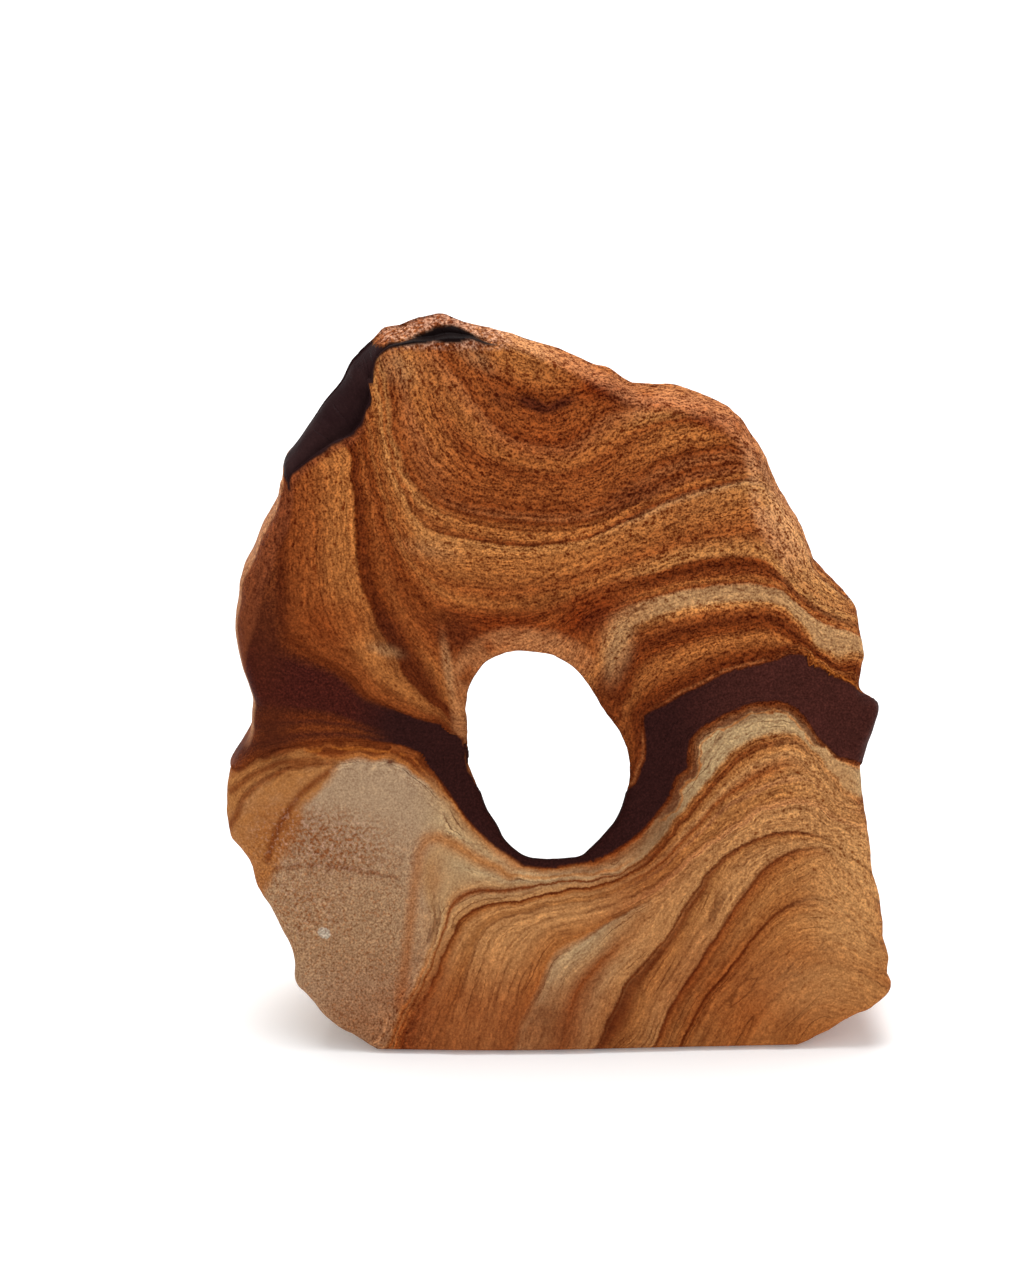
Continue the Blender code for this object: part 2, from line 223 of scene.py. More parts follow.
def swell(swells, x, z):
    """How far the swells stand out: for each, its height times exp(-(distance / width)^2)."""
    return sum(height * np.exp(-((x - centre_x)**2 + (z - centre_z)**2) / width**2)
               for centre_x, centre_z, width, height in swells)


def front(x, z):
    """Depth of the front: a plane leaning back, less its swells."""
    return FRONT_FOOT + z * math.tan(FACE_LEAN) - swell(SWELLS, x, z)


def back(x, z):
    """Depth of the back: a near upright plane, one broad belly and its own swells."""
    belly = np.exp(-((z - BACK_BELLY_HEIGHT) / BACK_BELLY_REACH)**2)
    return BACK_FOOT + z * math.tan(BACK_LEAN) + BACK_BELLY * belly + swell(BACK_SWELLS, x, z)


def steps_to(count):
    """Fractions of a stretch as a column, from just after its start up to its end."""
    return ((np.arange(count) + 1) / count)[:, None]


def rim_path(inset, ledge, widest):
    """How far in and how deep each step of the rim lies, for all sections at once.

    A plain rim is a quarter ellipse: in = inset (1 - sin), deep = widest (1 - cos). A
    broken one is a small corner, a wall down to the ledge, and a quarter ellipse from
    there to the widest line. The ledge's depth says how much of each it is.
    """
    u = steps_to(RIM_STEPS)
    plain = u * math.pi / 2
    corner, wall = ease(u, 0.0, CORNER_END), ease(u, WALL_START, WALL_END)
    shoulder = np.clip((u - SHOULDER_START) / (1 - SHOULDER_START), 0.0, 1.0) * math.pi / 2
    foot = inset - LEDGE_CORNER + LEDGE_FOOT
    bite = LEDGE_UNDERCUT * wall * (1 - np.sin(shoulder))
    broken_in = np.where(shoulder > 0, foot * (1 - np.sin(shoulder)),
                         inset - LEDGE_CORNER * corner + LEDGE_FOOT * wall) + bite
    broken_deep = ledge * wall + (widest - ledge) * (1 - np.cos(shoulder))
    share = np.clip(ledge / LEDGE_FULL, 0.0, 1.0)
    inward = inset * (1 - np.sin(plain)) * (1 - share) + broken_in * share
    deep = widest * (1 - np.cos(plain)) * (1 - share) + broken_deep * share
    return inward, deep


def skin(angles):
    """Every point of the skin, as three grids x, y and z.

    A row is one step along the sections, a column is one section. A section runs from
    the mouth of the hole over the front, round the rim, along the side, round the back
    edge, over the back and through the hole's wall to where it started.
    """
    across, upward = np.cos(angles), np.sin(angles)
    ground = np.where(-upward > GROUND_SLOPE,
                      HOLE_CENTRE[1] / np.maximum(-upward, GROUND_SLOPE), np.inf)
    outline = np.minimum(radius_at(smooth_loop(OUTLINE), angles), ground)
    mouth = radius_at(smooth_loop(HOLE_OUTLINE), angles)
    inset, ledge, widest = (along_rim(RIM, column, angles) for column in (1, 2, 3))
    turn = np.degrees(angles)
    chipped = ease(turn, *CHIPPED_FROM) * (1 - ease(turn, *CHIPPED_TO))
    chipped_in = np.maximum(outline - radius_at(CHIPPED_EDGE, angles), CHIPPED_LEAST)
    inset = inset * (1 - chipped) + chipped_in * chipped
    edge_in, edge_deep = (along_rim(BACK_EDGE, column, angles) for column in (1, 2))
    nub = along_rim(NUB, 1, angles)

    def place(radius, lowered=0.0):
        """x and z of a point of each section: its centre, plus the radius along it."""
        return HOLE_CENTRE[0] + radius * across, HOLE_CENTRE[1] + radius * upward - lowered

    # Front, from the mouth of the hole to its edge
    t = np.vstack(([[0.0]], steps_to(FACE_STEPS)))
    lip_x, lip_z = place(mouth + HOLE_LIP)
    face_x, face_z = place(mouth + HOLE_LIP + (outline - inset - mouth - HOLE_LIP)
                           * ((1 + FACE_CROWDING) * t - FACE_CROWDING * t**4))
    face = (face_x, front(face_x, face_z), face_z)

    # Rim and side, measured in from the outline and back from the front's edge
    edge_x, edge_z = place(outline - inset)
    edge_y = front(edge_x, edge_z)
    wide_x, wide_z = place(outline)
    through = back(wide_x, wide_z) - edge_y
    edge_deep = np.minimum(edge_deep, through - widest - SIDE_LEAST_RUN)
    run = through - edge_deep - widest
    free = np.clip(wide_z / SIDE_START, 0.0, 1.0)
    taper = SIDE_TAPER * free * np.clip(run / SIDE_FULL_RUN, SIDE_LEAST_TAPER, 1.0)
    rim_in, rim_deep = rim_path(inset, ledge, widest)
    s = steps_to(SIDE_STEPS)
    lump = SIDE_LUMP * free * np.sin(math.pi * s)
    lump = lump * np.sin(angles * SIDE_LUMPS + SIDE_LUMP_TWIST * s)
    b = steps_to(BACK_EDGE_STEPS) * math.pi / 2
    fallen = nub * (1 - (1 - s)**NUB_FALL)
    narrowed = taper + nub
    inward = np.vstack((rim_in, taper * s**TAPER_CURVE + fallen + lump,
                        narrowed + edge_in * (1 - np.cos(b))))
    deep = np.vstack((rim_deep, widest + run * s, widest + run + edge_deep * np.sin(b)))
    side_x, side_z = place(outline - inward)
    side = (side_x, edge_y + deep, side_z)

    # Back, in to the lower mouth of the hole
    hole_depth = back(lip_x, lip_z - HOLE_BACK_BELOW) - front(lip_x, lip_z)
    out_x, out_z = place(outline - narrowed - edge_in)
    in_x, in_z = place(mouth + HOLE_FLARE * hole_depth + HOLE_BACK_LIP, HOLE_DROP * hole_depth)
    t = steps_to(BACK_STEPS)
    back_x, back_z = out_x + (in_x - out_x) * t, out_z + (in_z - out_z) * t
    rear = (back_x, back(back_x, back_z), back_z)

    # Rounding of the lower mouth, wall, and rounding of the front mouth
    start = rear[1][-1] - front(lip_x, lip_z)
    b = steps_to(HOLE_BACK_STEPS) * math.pi / 2
    t = steps_to(WALL_STEPS)
    m = steps_to(MOUTH_STEPS)[:-1] * math.pi / 2
    round_deep = start - HOLE_BACK_LIP * (1 - np.cos(b))
    wall_deep = (start - HOLE_BACK_LIP) * (1 - t) + HOLE_LIP * t
    wall_run = wall_deep - HOLE_LIP * t
    mouth_deep = HOLE_LIP * (1 - np.sin(m)) * np.ones_like(mouth)
    hole_x, hole_z = place(np.vstack((
        mouth + HOLE_FLARE * round_deep + HOLE_BACK_LIP * (1 - np.sin(b)),
        mouth + HOLE_FLARE * wall_run,
        mouth + HOLE_LIP * (1 - np.cos(m)),
    )), HOLE_DROP * np.vstack((round_deep, wall_run, 0 * mouth_deep)))
    hole_y = front(lip_x, lip_z) + np.vstack((round_deep, wall_deep, mouth_deep))
    return [np.vstack(part) for part in zip(face, side, rear, (hole_x, hole_y, hole_z))]


# The beds: thin sheets of sand laid down one on the other, bent since, and cut across by
# the front. The iron lies between two of them.
IRON_TOP = 46.5
IRON_FOOT = 54.0

# Each bed is followed along the front and has a number: its distance below the
# middle of the bowl near the top. A line is that number, then x and z of the points.
BEDS = (
    (-7, -5.5, 98, -2, 96.5, 1.8, 95),
    (-2.5, -11.3, 98, -9, 95.1, -6.2, 93.2, -2, 92.1, 2.2, 92.1, 5.7, 93.1, 9.2, 92.6),
    (0.3, -5.3, 90.6, -3.6, 89.8, -2.4, 89.2, -1, 89.5, 1.3, 90.3),
    (3, -14.6, 97, -11.8, 93.5, -9, 90, -6.6, 88, -2.7, 86.6, 0.8, 86.9, 3.6, 88.8, 7.1, 90.5,
     12.7, 91.1, 18.3, 90.9),
    (6.4, -17.8, 97, -15.3, 93.5, -12.5, 89.8, -9.7, 86.6, -6.9, 84.7, -2, 83.5, 1.8, 83.6,
     4.4, 85.5, 6.9, 87.2, 11.4, 88.5, 17, 89.4, 21.9, 89.4),
    (10.6, -20.6, 97, -18.8, 92.5, -16.7, 88.4, -14.1, 85, -11.3, 82.5, -7.6, 80.9, -2, 79.8,
     3, 80.6, 6.5, 82.2, 10.2, 84.6, 14.4, 86.3, 19.8, 87.2, 24.7, 87.2, 27.1, 85.5),
    (12.6, -21.8, 95.7, -20.6, 91.6, -18.8, 87, -16.4, 82.9, -13.6, 80.3, -10.4, 78.8, -6.2, 78,
     -1.2, 77.8, 3.7, 78.5, 7.4, 79.8, 11.7, 81.7, 15.9, 83.5, 20.5, 84.4, 25.4, 84.4, 28.5, 82.5,
     30.3, 79.5),
    (16.2, -23.4, 94.3, -22.5, 89.1, -21.2, 84.3, -19.5, 80.2, -16.7, 77.4, -13.6, 76, -10.4, 75.4,
     -6.2, 74.8, -1.2, 74.4, 3, 74.7, 6.5, 75.6, 10.7, 77.8, 14.9, 79.8, 19.8, 81.4, 25.4, 82,
     28.6, 80.9, 31.3, 77.4),
    (18.1, -24.2, 93.2, -23.7, 87.7, -22.3, 82.9, -20.6, 78.8, -18.4, 76.3, -15, 74.7, -11.8, 73.8,
     -8, 73, -4.1, 72.6, 0.2, 72.5, 3.7, 73, 7.2, 74.5, 11.4, 76.5, 15.6, 78.4, 19.8, 79.8,
     25.4, 80.6, 28.2, 80.3, 31.7, 76.5, 33.9, 73.4),
    (20, -25.2, 91.6, -24.7, 86.3, -23.6, 81.5, -22, 78.1, -20.9, 75.8, -19.5, 74, -17.4, 72.6,
     -15, 71.9, -11.8, 71.4, -8.3, 70.8, -4.1, 70.5, 0.2, 70.8, 4.4, 71.6, 8.6, 73.6, 11.4, 74.7,
     14.2, 76, 17, 77.3, 19.8, 78.2, 22.6, 78.8, 25.4, 79.3, 27.8, 79.2, 29.2, 78.4, 30.5, 77,
     31.9, 75.1, 33.3, 73, 34.7, 70.9),
    (25, -26.1, 87, -25.4, 82.2, -24.3, 78.1, -22.9, 74, -21.5, 70.5, -19.5, 68.2, -17, 66.5,
     -12.5, 65.4, -6.9, 65.1, -1.9, 65.6, 3, 66.8, 7.5, 68.7, 12.8, 70.5, 19.8, 73, 25.4, 74.1,
     29, 73.7, 31.1, 71.2, 33.5, 67.1, 36.7, 64, 40.3, 61.8),
    (31, -27, 85, -26.2, 80.9, -25, 76.7, -23.9, 72.6, -22.6, 69, -20.9, 65.7, -18.7, 62.7,
     -15.3, 60.4, -11.1, 59.2, -6.2, 58.8, -1.9, 59.8, 2.3, 62.1, 5.8, 63.6, 10.3, 65.3,
     15.1, 66.7, 19.8, 67.9, 24.8, 68.3, 29, 67.8, 31.4, 66.1, 33.5, 63.8, 36.1, 62, 39.3, 60.6,
     42, 59.9),
    (33.5, -27.6, 84.3, -26.9, 79.5, -25.7, 74.7, -24.7, 70.5, -23.5, 66.8, -21.8, 62.9,
     -19.5, 59.9, -16.7, 57.4, 5.8, 61.1, 8.6, 62, 11.4, 62.9, 15.1, 64, 19.9, 65, 24.8, 65.4,
     29, 65.1, 31.4, 64.5, 33.5, 62.9, 35.6, 61.1, 38.5, 59.6, 42.1, 58.5),
    (36, -28.3, 83.6, -28, 79.5, -27.2, 74.4, -26.7, 70, -25.6, 65.7, -24, 62, -22.1, 58.5,
     -19.8, 55.3, -16.7, 51.2, -14.2, 47.4, 6.5, 54.6, 7.6, 57.4, 10, 59.9, 14.2, 61.6, 19.9, 62.9,
     25.5, 63.5, 30.4, 62.9, 33.3, 61.1, 35.7, 58.5, 38.9, 56.7, 42.4, 56.4),
    (38.5, -28.9, 82.9, -28.6, 78.9, -28.3, 74.4, -28.1, 70, -27.4, 65.4, -25.9, 61.8, -24, 58,
     -22.4, 55.3, -20.7, 51.9, -18.1, 49.1, -15.3, 46, 6.4, 49.1, 8.6, 54.6, 10.6, 57.4,
     14.3, 59.1, 17.1, 60, 23.3, 61.3, 29, 61.6, 31.8, 60.6, 34, 58.5, 35.7, 56.3, 38.2, 54.6,
     42.2, 54.1),
    (42, -32.8, 82.2, -32.4, 76.7, -32.2, 69.8, -31.5, 64.3, -30.1, 59.5, -28, 55.3, -25.5, 52.1,
     -22.4, 49.8, -18.2, 47.4, -14.6, 44.8, 8.7, 44.2, 9.8, 49.1, 11.5, 52.5, 15, 54.9, 19.9, 56.7,
     25.5, 58, 30.5, 58.1, 33.3, 56.7, 35.7, 54.6, 38.9, 53, 42.8, 51.9),
    (46.5, -38.7, 76.7, -39, 71.2, -39.2, 65.7, -39.2, 60.9, -38.1, 57.4, -35.2, 55.9, -33.4, 54.8,
     -31.2, 53.8, -29, 52, -27.3, 49.9, -23.7, 48.2, -21.5, 47.3, -18.6, 46.3, -16.6, 45.9,
     -14.6, 44.6, -13.6, 43.7, -12.8, 39.3, -11.1, 36.5, 9.8, 36.5, 10.9, 37.7, 11.6, 39.6,
     12.2, 41, 12.3, 43.2, 12, 45.3, 12, 47, 13.2, 47.8, 15.3, 48.7, 17.4, 50, 19.6, 51, 23.4, 53,
     27.8, 54.1, 31, 54.9, 32.6, 55.7, 35, 55.5, 36.7, 53.9, 38.9, 52.5, 40.9, 51.6, 42.6, 50.5,
     44.6, 49.5),
    (54, -46.1, 39.3, -44.3, 39.9, -41.9, 41.8, -38.6, 42.8, -35.4, 43.4, -30.9, 43.8, -27.3, 43.7,
     -23.7, 43.2, -22.4, 43, -19.9, 42.1, -18.6, 40.2, -16.6, 37.9, -14.8, 35.4, -13.1, 32.9,
     -11.3, 31, -8.8, 28.7, -6.3, 27.2, -4.9, 26.2, -1.8, 25.9, 1.1, 26.2, 4, 26.6, 7, 27.7,
     10, 29.6, 12, 31.2, 13.6, 33.1, 15.3, 35.2, 16.6, 38.5, 18.3, 39.8, 18.1, 41, 18.5, 43.5,
     20, 45.3, 23, 47.1, 27.1, 48.8, 30.9, 49.1, 32.9, 48.4, 34.2, 47.3, 35.3, 45.9, 36.3, 44.3,
     37.8, 42.8, 39.2, 41.4, 40.7, 41, 42.6, 40.5),
    (54.7, -46, 35.8, -43.6, 38.1, -40.8, 39.8, -36.5, 40.7, -30.9, 41.3, -25.9, 41.4, -22.4, 41.1,
     -20.7, 40.2, -18.9, 38.6, -16.8, 36.5, -14.6, 33.8, -12.5, 31.2, -10.4, 29.3, -8.3, 27.7,
     -5.5, 25.8, 0.2, 25.5, 4.5, 25.9, 7.6, 27.2, 10.4, 28.9, 12.9, 31, 16, 34.7, 19, 39.1,
     20.2, 41.8, 22.2, 44.5, 26.3, 46.9, 30.1, 47.5, 32.9, 47.1, 35.2, 44.9, 37.6, 42.4, 40.5, 40,
     42.7, 39.2),
    (55.2, -45.9, 29.6, -45.1, 33.1, -43.6, 35.6, -41.5, 37.5, -38.7, 38.9, -35.1, 39.6, -30.2, 40,
     -25.2, 40.2, -22.1, 39.3, -19.6, 37.5, -17.2, 34.9, -14.6, 32.1, -12.2, 29.8, -9.7, 27.9,
     -6.6, 25.8),
    (55.5, -38.8, 12.7, -40.2, 21.2, -38, 28.2, -35.9, 33.1, -33, 35.8, -29.5, 37.2, -24.5, 37.2,
     -21, 35.8, -18.2, 33.5, -15.4, 31, -12.5, 29.1, -9.4, 27.2),
    (56.2, -25.4, 1.2, -24.2, 7.1, -23, 14.1, -22.2, 21.2, -21.3, 25.6, -20.3, 28.2, -18.8, 29.7,
     -16.3, 30, -12.7, 28, -8.4, 26.2, -5.5, 25.1, 0.2, 24.8, 5.9, 25.2, 9, 26.2, 11.7, 27.9,
     14.4, 30.7, 17.5, 34.5, 20.3, 38.2, 22.2, 40.9, 24.2, 43.2, 27.7, 45, 31.2, 45.7, 33.8, 44.8,
     35.8, 42.8, 38.1, 40.5, 40.5, 37.9, 42.9, 36.8),
    (57.5, -22.9, 1.2, -21.9, 4, -20.6, 6.7, -19.2, 9.4, -17.9, 12.4, -16.8, 15.5, -15.8, 18.6,
     -15.4, 20.2, -14.5, 21.4, -13.2, 22.3, -11.1, 22.8, -8.3, 23, -5.4, 23.3, -2.6, 23.7,
     0.2, 24.1, 3, 24.2, 5.9, 24.4, 8.7, 24.9, 11.5, 26.5, 13.7, 28.4, 15.5, 30.5, 17.5, 33.1,
     20, 36.1, 22, 38.5, 23.8, 40.7, 25.9, 42.4, 28.4, 43.7, 31.3, 44.2, 34.1, 43.8, 36.2, 41.8,
     37.6, 39.5, 39.8, 36.8, 42.8, 35.2),
    (59, -22.1, 1.2, -21.4, 2.9, -20.2, 5.7, -18.9, 8.1, -17.9, 10.3, -16.7, 13.4, -15.8, 15.3,
     -14.7, 17.1, -14, 18.5, -12.8, 19.6, -11.1, 20.5, -8.3, 21, -5.4, 21.3, -2.6, 21.9, 0.2, 22.4,
     4.5, 23, 6.7, 23.7, 9, 24.5, 11.7, 25.9, 13.8, 27.7, 15.5, 29.8, 17.3, 32.2, 20.1, 35.2,
     21.8, 37.2, 23.7, 39.3, 25.8, 41.1, 28.4, 42.5, 31.3, 43.2, 34.1, 43, 36.2, 41.3, 37.4, 39.1,
     39.2, 37, 41.2, 35.2, 42.8, 34.5),
    (63, -16.1, 1.2, -15.4, 4.3, -14.3, 7.1, -13.5, 9.9, -12.5, 12.7, -11.8, 14.8, -11.1, 16.4,
     -10.1, 17.8, -8.3, 18.9, -5.4, 19.8, -1.9, 20.6, 2.3, 21.2, 5.9, 21.7, 8.7, 22.6, 11.5, 24,
     14.4, 25.6, 17.2, 28, 19.7, 30.4, 21.7, 32.4, 24.2, 34.6, 26.4, 35.7, 28.5, 36.8, 31.3, 37.7,
     34.1, 38.1, 36.2, 37.5, 37.7, 36.1, 39.8, 34.5, 42.9, 33.5),
    (66, -11.4, 1.2, -10.1, 6.4, -9, 10.6, -7.9, 13.4, -6.6, 15.5, -4.7, 17.5, -1.9, 18.8,
     1.6, 19.6, 5.9, 20.2, 10.1, 21.6, 13.7, 23.4, 16.5, 25.6, 19.3, 28, 22.1, 30.1, 25.7, 32.4,
     29.2, 34.6, 32.7, 35.6, 35.8, 35.3, 39.1, 33.3, 43.1, 32.1),
    (69, -6.2, 1.2, -4.9, 5, -3.6, 7.4, -2.3, 9.6, -1.2, 12.6, 1.4, 14.7, 4.6, 16.5, 7.5, 18.6,
     10.6, 20.3, 13.7, 22.1, 16.6, 24.5, 19.3, 26.9, 22.1, 29, 25.7, 31.2, 28.8, 33.5, 32.7, 34.3,
     36.3, 34, 39.5, 31.8, 43.2, 30.3),
    (70.5, 0.5, 1.2, 1.4, 5, 2.6, 8.5, 4.8, 11.6, 7.6, 14.1, 10.9, 16.5, 13.7, 19.3, 16.2, 22.3,
     18.6, 24.9, 21.2, 27, 24.3, 29.3, 28.5, 31.5, 33.4, 32.4, 37, 31.5, 40.1, 29.8, 43.5, 28.2),
    (72, 5.6, 1.2, 6.5, 3.3, 7.6, 5.7, 8.8, 7.8, 9.9, 10.1, 11.7, 11.9, 13.7, 14.1, 15.5, 16.2,
     17.2, 18.8, 18.6, 21.2, 20.1, 23.3, 22.2, 25.9, 24.6, 28, 27.8, 29.8, 31.3, 30.7, 34.9, 30.7,
     37.7, 29.6, 40.6, 27.5, 43.8, 25.4),
    (75, 13.8, 1.2, 14.6, 3.1, 15.6, 5.7, 17.3, 8.5, 18.7, 10.6, 20.1, 12.7, 21.6, 15, 23.3, 17.6,
     25, 20.3, 26.4, 22.1, 27.8, 24.1, 29.4, 26.1, 31.5, 27.5, 34.2, 28.4, 36.4, 28.7, 38.4, 28.2,
     41, 25.4, 44.1, 22.3),
    (80, 17.6, 1.2, 18.6, 3.1, 19.7, 5.4, 21.1, 7.7, 23.1, 10.1, 24.9, 12.2, 26.8, 14.8,
     28.3, 16.5, 30.1, 18.5, 32.1, 20, 34.9, 21.2, 38.2, 20.9, 41.1, 19.1, 45.1, 15.5),
    (88, 26.6, 1.2, 28, 4, 29.8, 6.4, 32.2, 8.5, 34.3, 10.2, 36.4, 11.9, 39.3, 12.4, 42.8, 11.3,
     46.2, 9.2),
    (93, 32, 1.2, 33.6, 4, 35.2, 5.8, 37.5, 7, 40.7, 6.7, 44, 5.7),
    (55.8, -30.3, 1.7, -29.3, 9.9, -27.9, 16.9, -25.6, 24, -22.4, 28.4, -18.9, 31.1, -15.6, 30.7,
     -11.8, 28),
)

# The sheet through the beds is worked out in this unit and with this much slack, and
# is read off in so many blocks
BED_UNIT = 50.0
BED_SLACK = 2e-4
BED_BLOCKS = 40

# Behind the front the beds sink towards the back and wander a little
BED_DIP = 0.22
BED_DRIFT = 0.05
BED_WANDER = 1.6
WANDER_START = 8.0

# How many random heights the noise picks from, and what spreads its picks about
HEIGHT_COUNT = 4096
PICK_SPREAD = (73856093, 19349663, 83492791)


def lattice_noise(places, size, seed):
    """Smooth noise from -1 to 1.

    Space is cut into cubes of the given size. Each corner has a random height, and the
    heights are blended with 3t^2 - 2t^3 along each of the three directions.
    """
    heights = np.random.default_rng(seed).uniform(-1.0, 1.0, HEIGHT_COUNT)
    cell = np.floor(places / size).astype(np.int64)
    t = places / size - cell
    t = t * t * (3 - 2 * t)
    total = 0.0
    for corner in np.ndindex(2, 2, 2):
        pick = np.bitwise_xor.reduce((cell + corner) * PICK_SPREAD, axis=-1)
        weight = np.prod(np.where(corner, t, 1 - t), axis=-1)
        total = total + weight * heights[pick % HEIGHT_COUNT]
    return total


def spline_weights(places, values):
    """Weights of the smoothest sheet through the values: a thin plate, r^2 log r."""
    count = len(places)
    r = np.hypot(*(places[:, None] - places[None]).transpose(2, 0, 1))
    bend = r * r * np.log(np.maximum(r, 1e-9)) + BED_SLACK * np.eye(count)
    plane = np.column_stack((np.ones(count), places))
    whole = np.block([[bend, plane], [plane.T, np.zeros((3, 3))]])
    return np.linalg.solve(whole, np.append(values, np.zeros(3)))


def bed_at(x, z):
    """Bed number at each point, and how many beds are crossed there in a millimetre."""
    spots = np.vstack([points(*path) for _, *path in BEDS]) / BED_UNIT
    numbers = np.concatenate([[number] * (len(path) // 2) for number, *path in BEDS])
    weights = spline_weights(spots, numbers)
    beds, crowding = [], []
    for block in np.array_split(np.column_stack((x.ravel(), z.ravel())) / BED_UNIT, BED_BLOCKS):
        gap = block[:, None] - spots[None]
        r2 = np.maximum((gap**2).sum(-1), 1e-12)
        log = 0.5 * np.log(r2)
        beds.append((r2 * log) @ weights[:-3] + weights[-3] + block @ weights[-2:])
        slope = np.einsum("ij,ijk->ik", (2 * log + 1) * weights[:-3], gap) + weights[-2:]
        crowding.append(np.hypot(*slope.T) / BED_UNIT)
    return np.concatenate(beds).reshape(x.shape), np.concatenate(crowding).reshape(x.shape)


def distance_to_path(path, x, z):
    """Distance from each point to the nearest straight piece of a path."""
    nearest = np.full(x.shape, np.inf)
    for (ax, az), (bx, bz) in zip(path, path[1:]):
        length = (bx - ax)**2 + (bz - az)**2
        t = np.clip(((x - ax) * (bx - ax) + (z - az) * (bz - az)) / length, 0.0, 1.0)
        nearest = np.minimum(nearest, np.hypot(x - ax - t * (bx - ax), z - az - t * (bz - az)))
    return nearest


# Stains and pale places, and a few spots of painted highlight and painted shadow, each a soft
# spot on the front: x, z, half length, half width, degrees it is turned, and strength. They fade
# over this depth behind the front.
SPOT_DEPTH = 3.0
RUSTY_SPOTS = (
    (4, 61, 6, 2.6, 25, 0.9), (-16, 3, 26, 10, 0, 0.95), (3, 4, 10, 7, 0, 0.6),
    (25, 8, 14, 9, 0, 0.7), (-9, 59, 9, 3, 0, 0.8), (7, 92, 4.5, 2.6, -10, 0.8),
    (-31, 60, 5, 3.5, 0, 0.6), (10, 31, 8.5, 3.6, 50, 1), (12, 24, 9, 4, 40, 0.5),
    (9, 91.6, 9, 1.8, -12, 1), (21, 88.2, 5, 1.8, -20, 0.9), (41, 38.5, 6, 3, -50, 0.4),
    (16, 76.5, 10, 2.6, 22, 0.45), (-2, 85, 8, 4, 0, 0.4), (-35, 30, 8, 4, -20, 0.4),
)
DARK_SPOTS = (
    # The first two draw a thin dark crescent in a small chipped hollow below the top: painted
    # shadow
    (-3.4, 89.8, 2.6, 0.8, -20, 1.6), (0, 89.9, 2.6, 0.7, 22, 1.4),
    (-8.3, 90.6, 2.2, 1.3, -30, 0.5), (10.7, 77.2, 4.8, 1.7, 20, 0.45),
    (-14, 58.3, 4, 2.6, -40, 0.6), (-23.8, 40.6, 0.6, 0.4, 0, 0.9), (-41.3, 61.5, 3.4, 10, 0, 0.8),
    (-41.5, 74, 2.4, 6, -10, 0.35), (-40.6, 44.6, 3.4, 4.4, 0, 0.85), (5, 60.2, 2.6, 1.4, 40, 0.5),
    (-24, 58.5, 3.6, 2.4, -50, 0.6), (8.5, 91, 2.6, 1.2, 0, 0.4), (14, 31, 5, 1.3, 48, 0.45),
    (-21.5, 54, 6, 2.6, -45, 0.35), (-1.4, 5, 2, 2.8, 20, 0.3),
)
PALE_SPOTS = (
    (-15.6, 53.6, 0.75, 4.6, 9, 0.55), (-24.4, 56.2, 2.4, 0.9, -15, 0.6),
    (-22.6, 95, 3.4, 2.2, -30, 0.3), (-12, 96.6, 3.6, 1.3, -35, 0.3),
    (-18, 70, 4.2, 1.3, -12, 0.2), (8.3, 56.6, 4.6, 1.9, 76, 0.6),
)
# One pale grain of quartz, low on the left
FLECK = ((-33.2, 16.8, 1.1, 0.8, -25, 1),)
# Edges and shoulders at the right painted paler where they catch the light: painted highlight
LIT_EDGE_SPOTS = (
    (42, 22, 7, 12, 0, 0.75), (38, 9, 9, 5, 0, 0.4), (42, 46, 4, 3, 0, 0.3),
    (36.5, 65, 8, 2.4, -42, 0.5), (29, 78.4, 3, 1.5, -10, 0.4), (32.5, 73.8, 7.5, 2.2, -52, 0.6),
    (38, 37.5, 9, 4, -45, 0.55),
)
# Where the cream body at the left is pitted, and the hairline crack across it
CHIPPY_SPOTS = ((-33, 29.5, 9.5, 4.8, -6, 1), (-36, 21, 6, 6, 0, 0.6))
CRACK = points(
    -40.5, 25.6, -38, 25.9, -36, 26.5, -32.5, 26.2, -29, 25.8, -25.7, 25.2, -22.5, 24.4,
)
# Left of the cream dome the sand is orange, with three rusty lines that bend round it
ORANGE_PATCH = points(
    -30.7, 40.7, -31.6, 38.9, -33.4, 37, -35.9, 34.7, -37, 32.4, -37.4, 29.6, -38.4, 27.7,
    -39.9, 25.6, -42, 21, -52, 21, -52, 39.3, -45, 41.1, -36.5, 42.1,
)
RUSTY_LINES = (
    points(-46.6, 31, -45.3, 33.5, -44.6, 35.6, -41.9, 37.9, -37.9, 39.9, -31.6, 40.7),
    points(-46.3, 36.3, -43.6, 38.6, -39.4, 40.5, -32.3, 41.1),
    points(-41.2, 27, -40.6, 28.9, -39.4, 32.1, -36.6, 36.1, -34, 38.2, -31.4, 39.9),
)
# An orange line that comes along below the hole and turns down through the cream
HOOKED_LINE = points(
    -6.9, 25, -9.6, 26.4, -12.4, 28, -14.5, 29.1, -16.7, 30.1, -18.6, 30, -19.7, 28, -20.2, 24.7,
    -20.7, 20.9, -21.2, 16.6, -21.7, 12.3, -22.6, 7,
)


def depth_in(outline, x, z):
    """Distance in from a closed outline, and less than 0 outside it.

    A point is inside when a line from it towards +x crosses the outline an odd number of
    times.
    """
    inside = np.zeros(x.shape, dtype=bool)
    for (ax, az), (bx, bz) in zip(outline, np.roll(outline, -1, 0)):
        if az != bz:
            inside ^= ((az > z) != (bz > z)) & (x < ax + (z - az) * (bx - ax) / (bz - az))
    closed = np.vstack((outline, outline[:1]))
    return distance_to_path(closed, x, z) * np.where(inside, 1, -1)


def spots_at(spots, x, z):
    """Strongest of the spots at each point: strength times exp(-(u^2 + v^2)^1.5)."""
    most = np.zeros(x.shape)
    for centre_x, centre_z, long, wide, turned, strength in spots:
        cos, sin = math.cos(math.radians(turned)), math.sin(math.radians(turned))
        u = ((x - centre_x) * cos + (z - centre_z) * sin) / long
        v = ((z - centre_z) * cos - (x - centre_x) * sin) / wide
        most = np.maximum(most, strength * np.exp(-(u * u + v * v)**1.5))
    return most
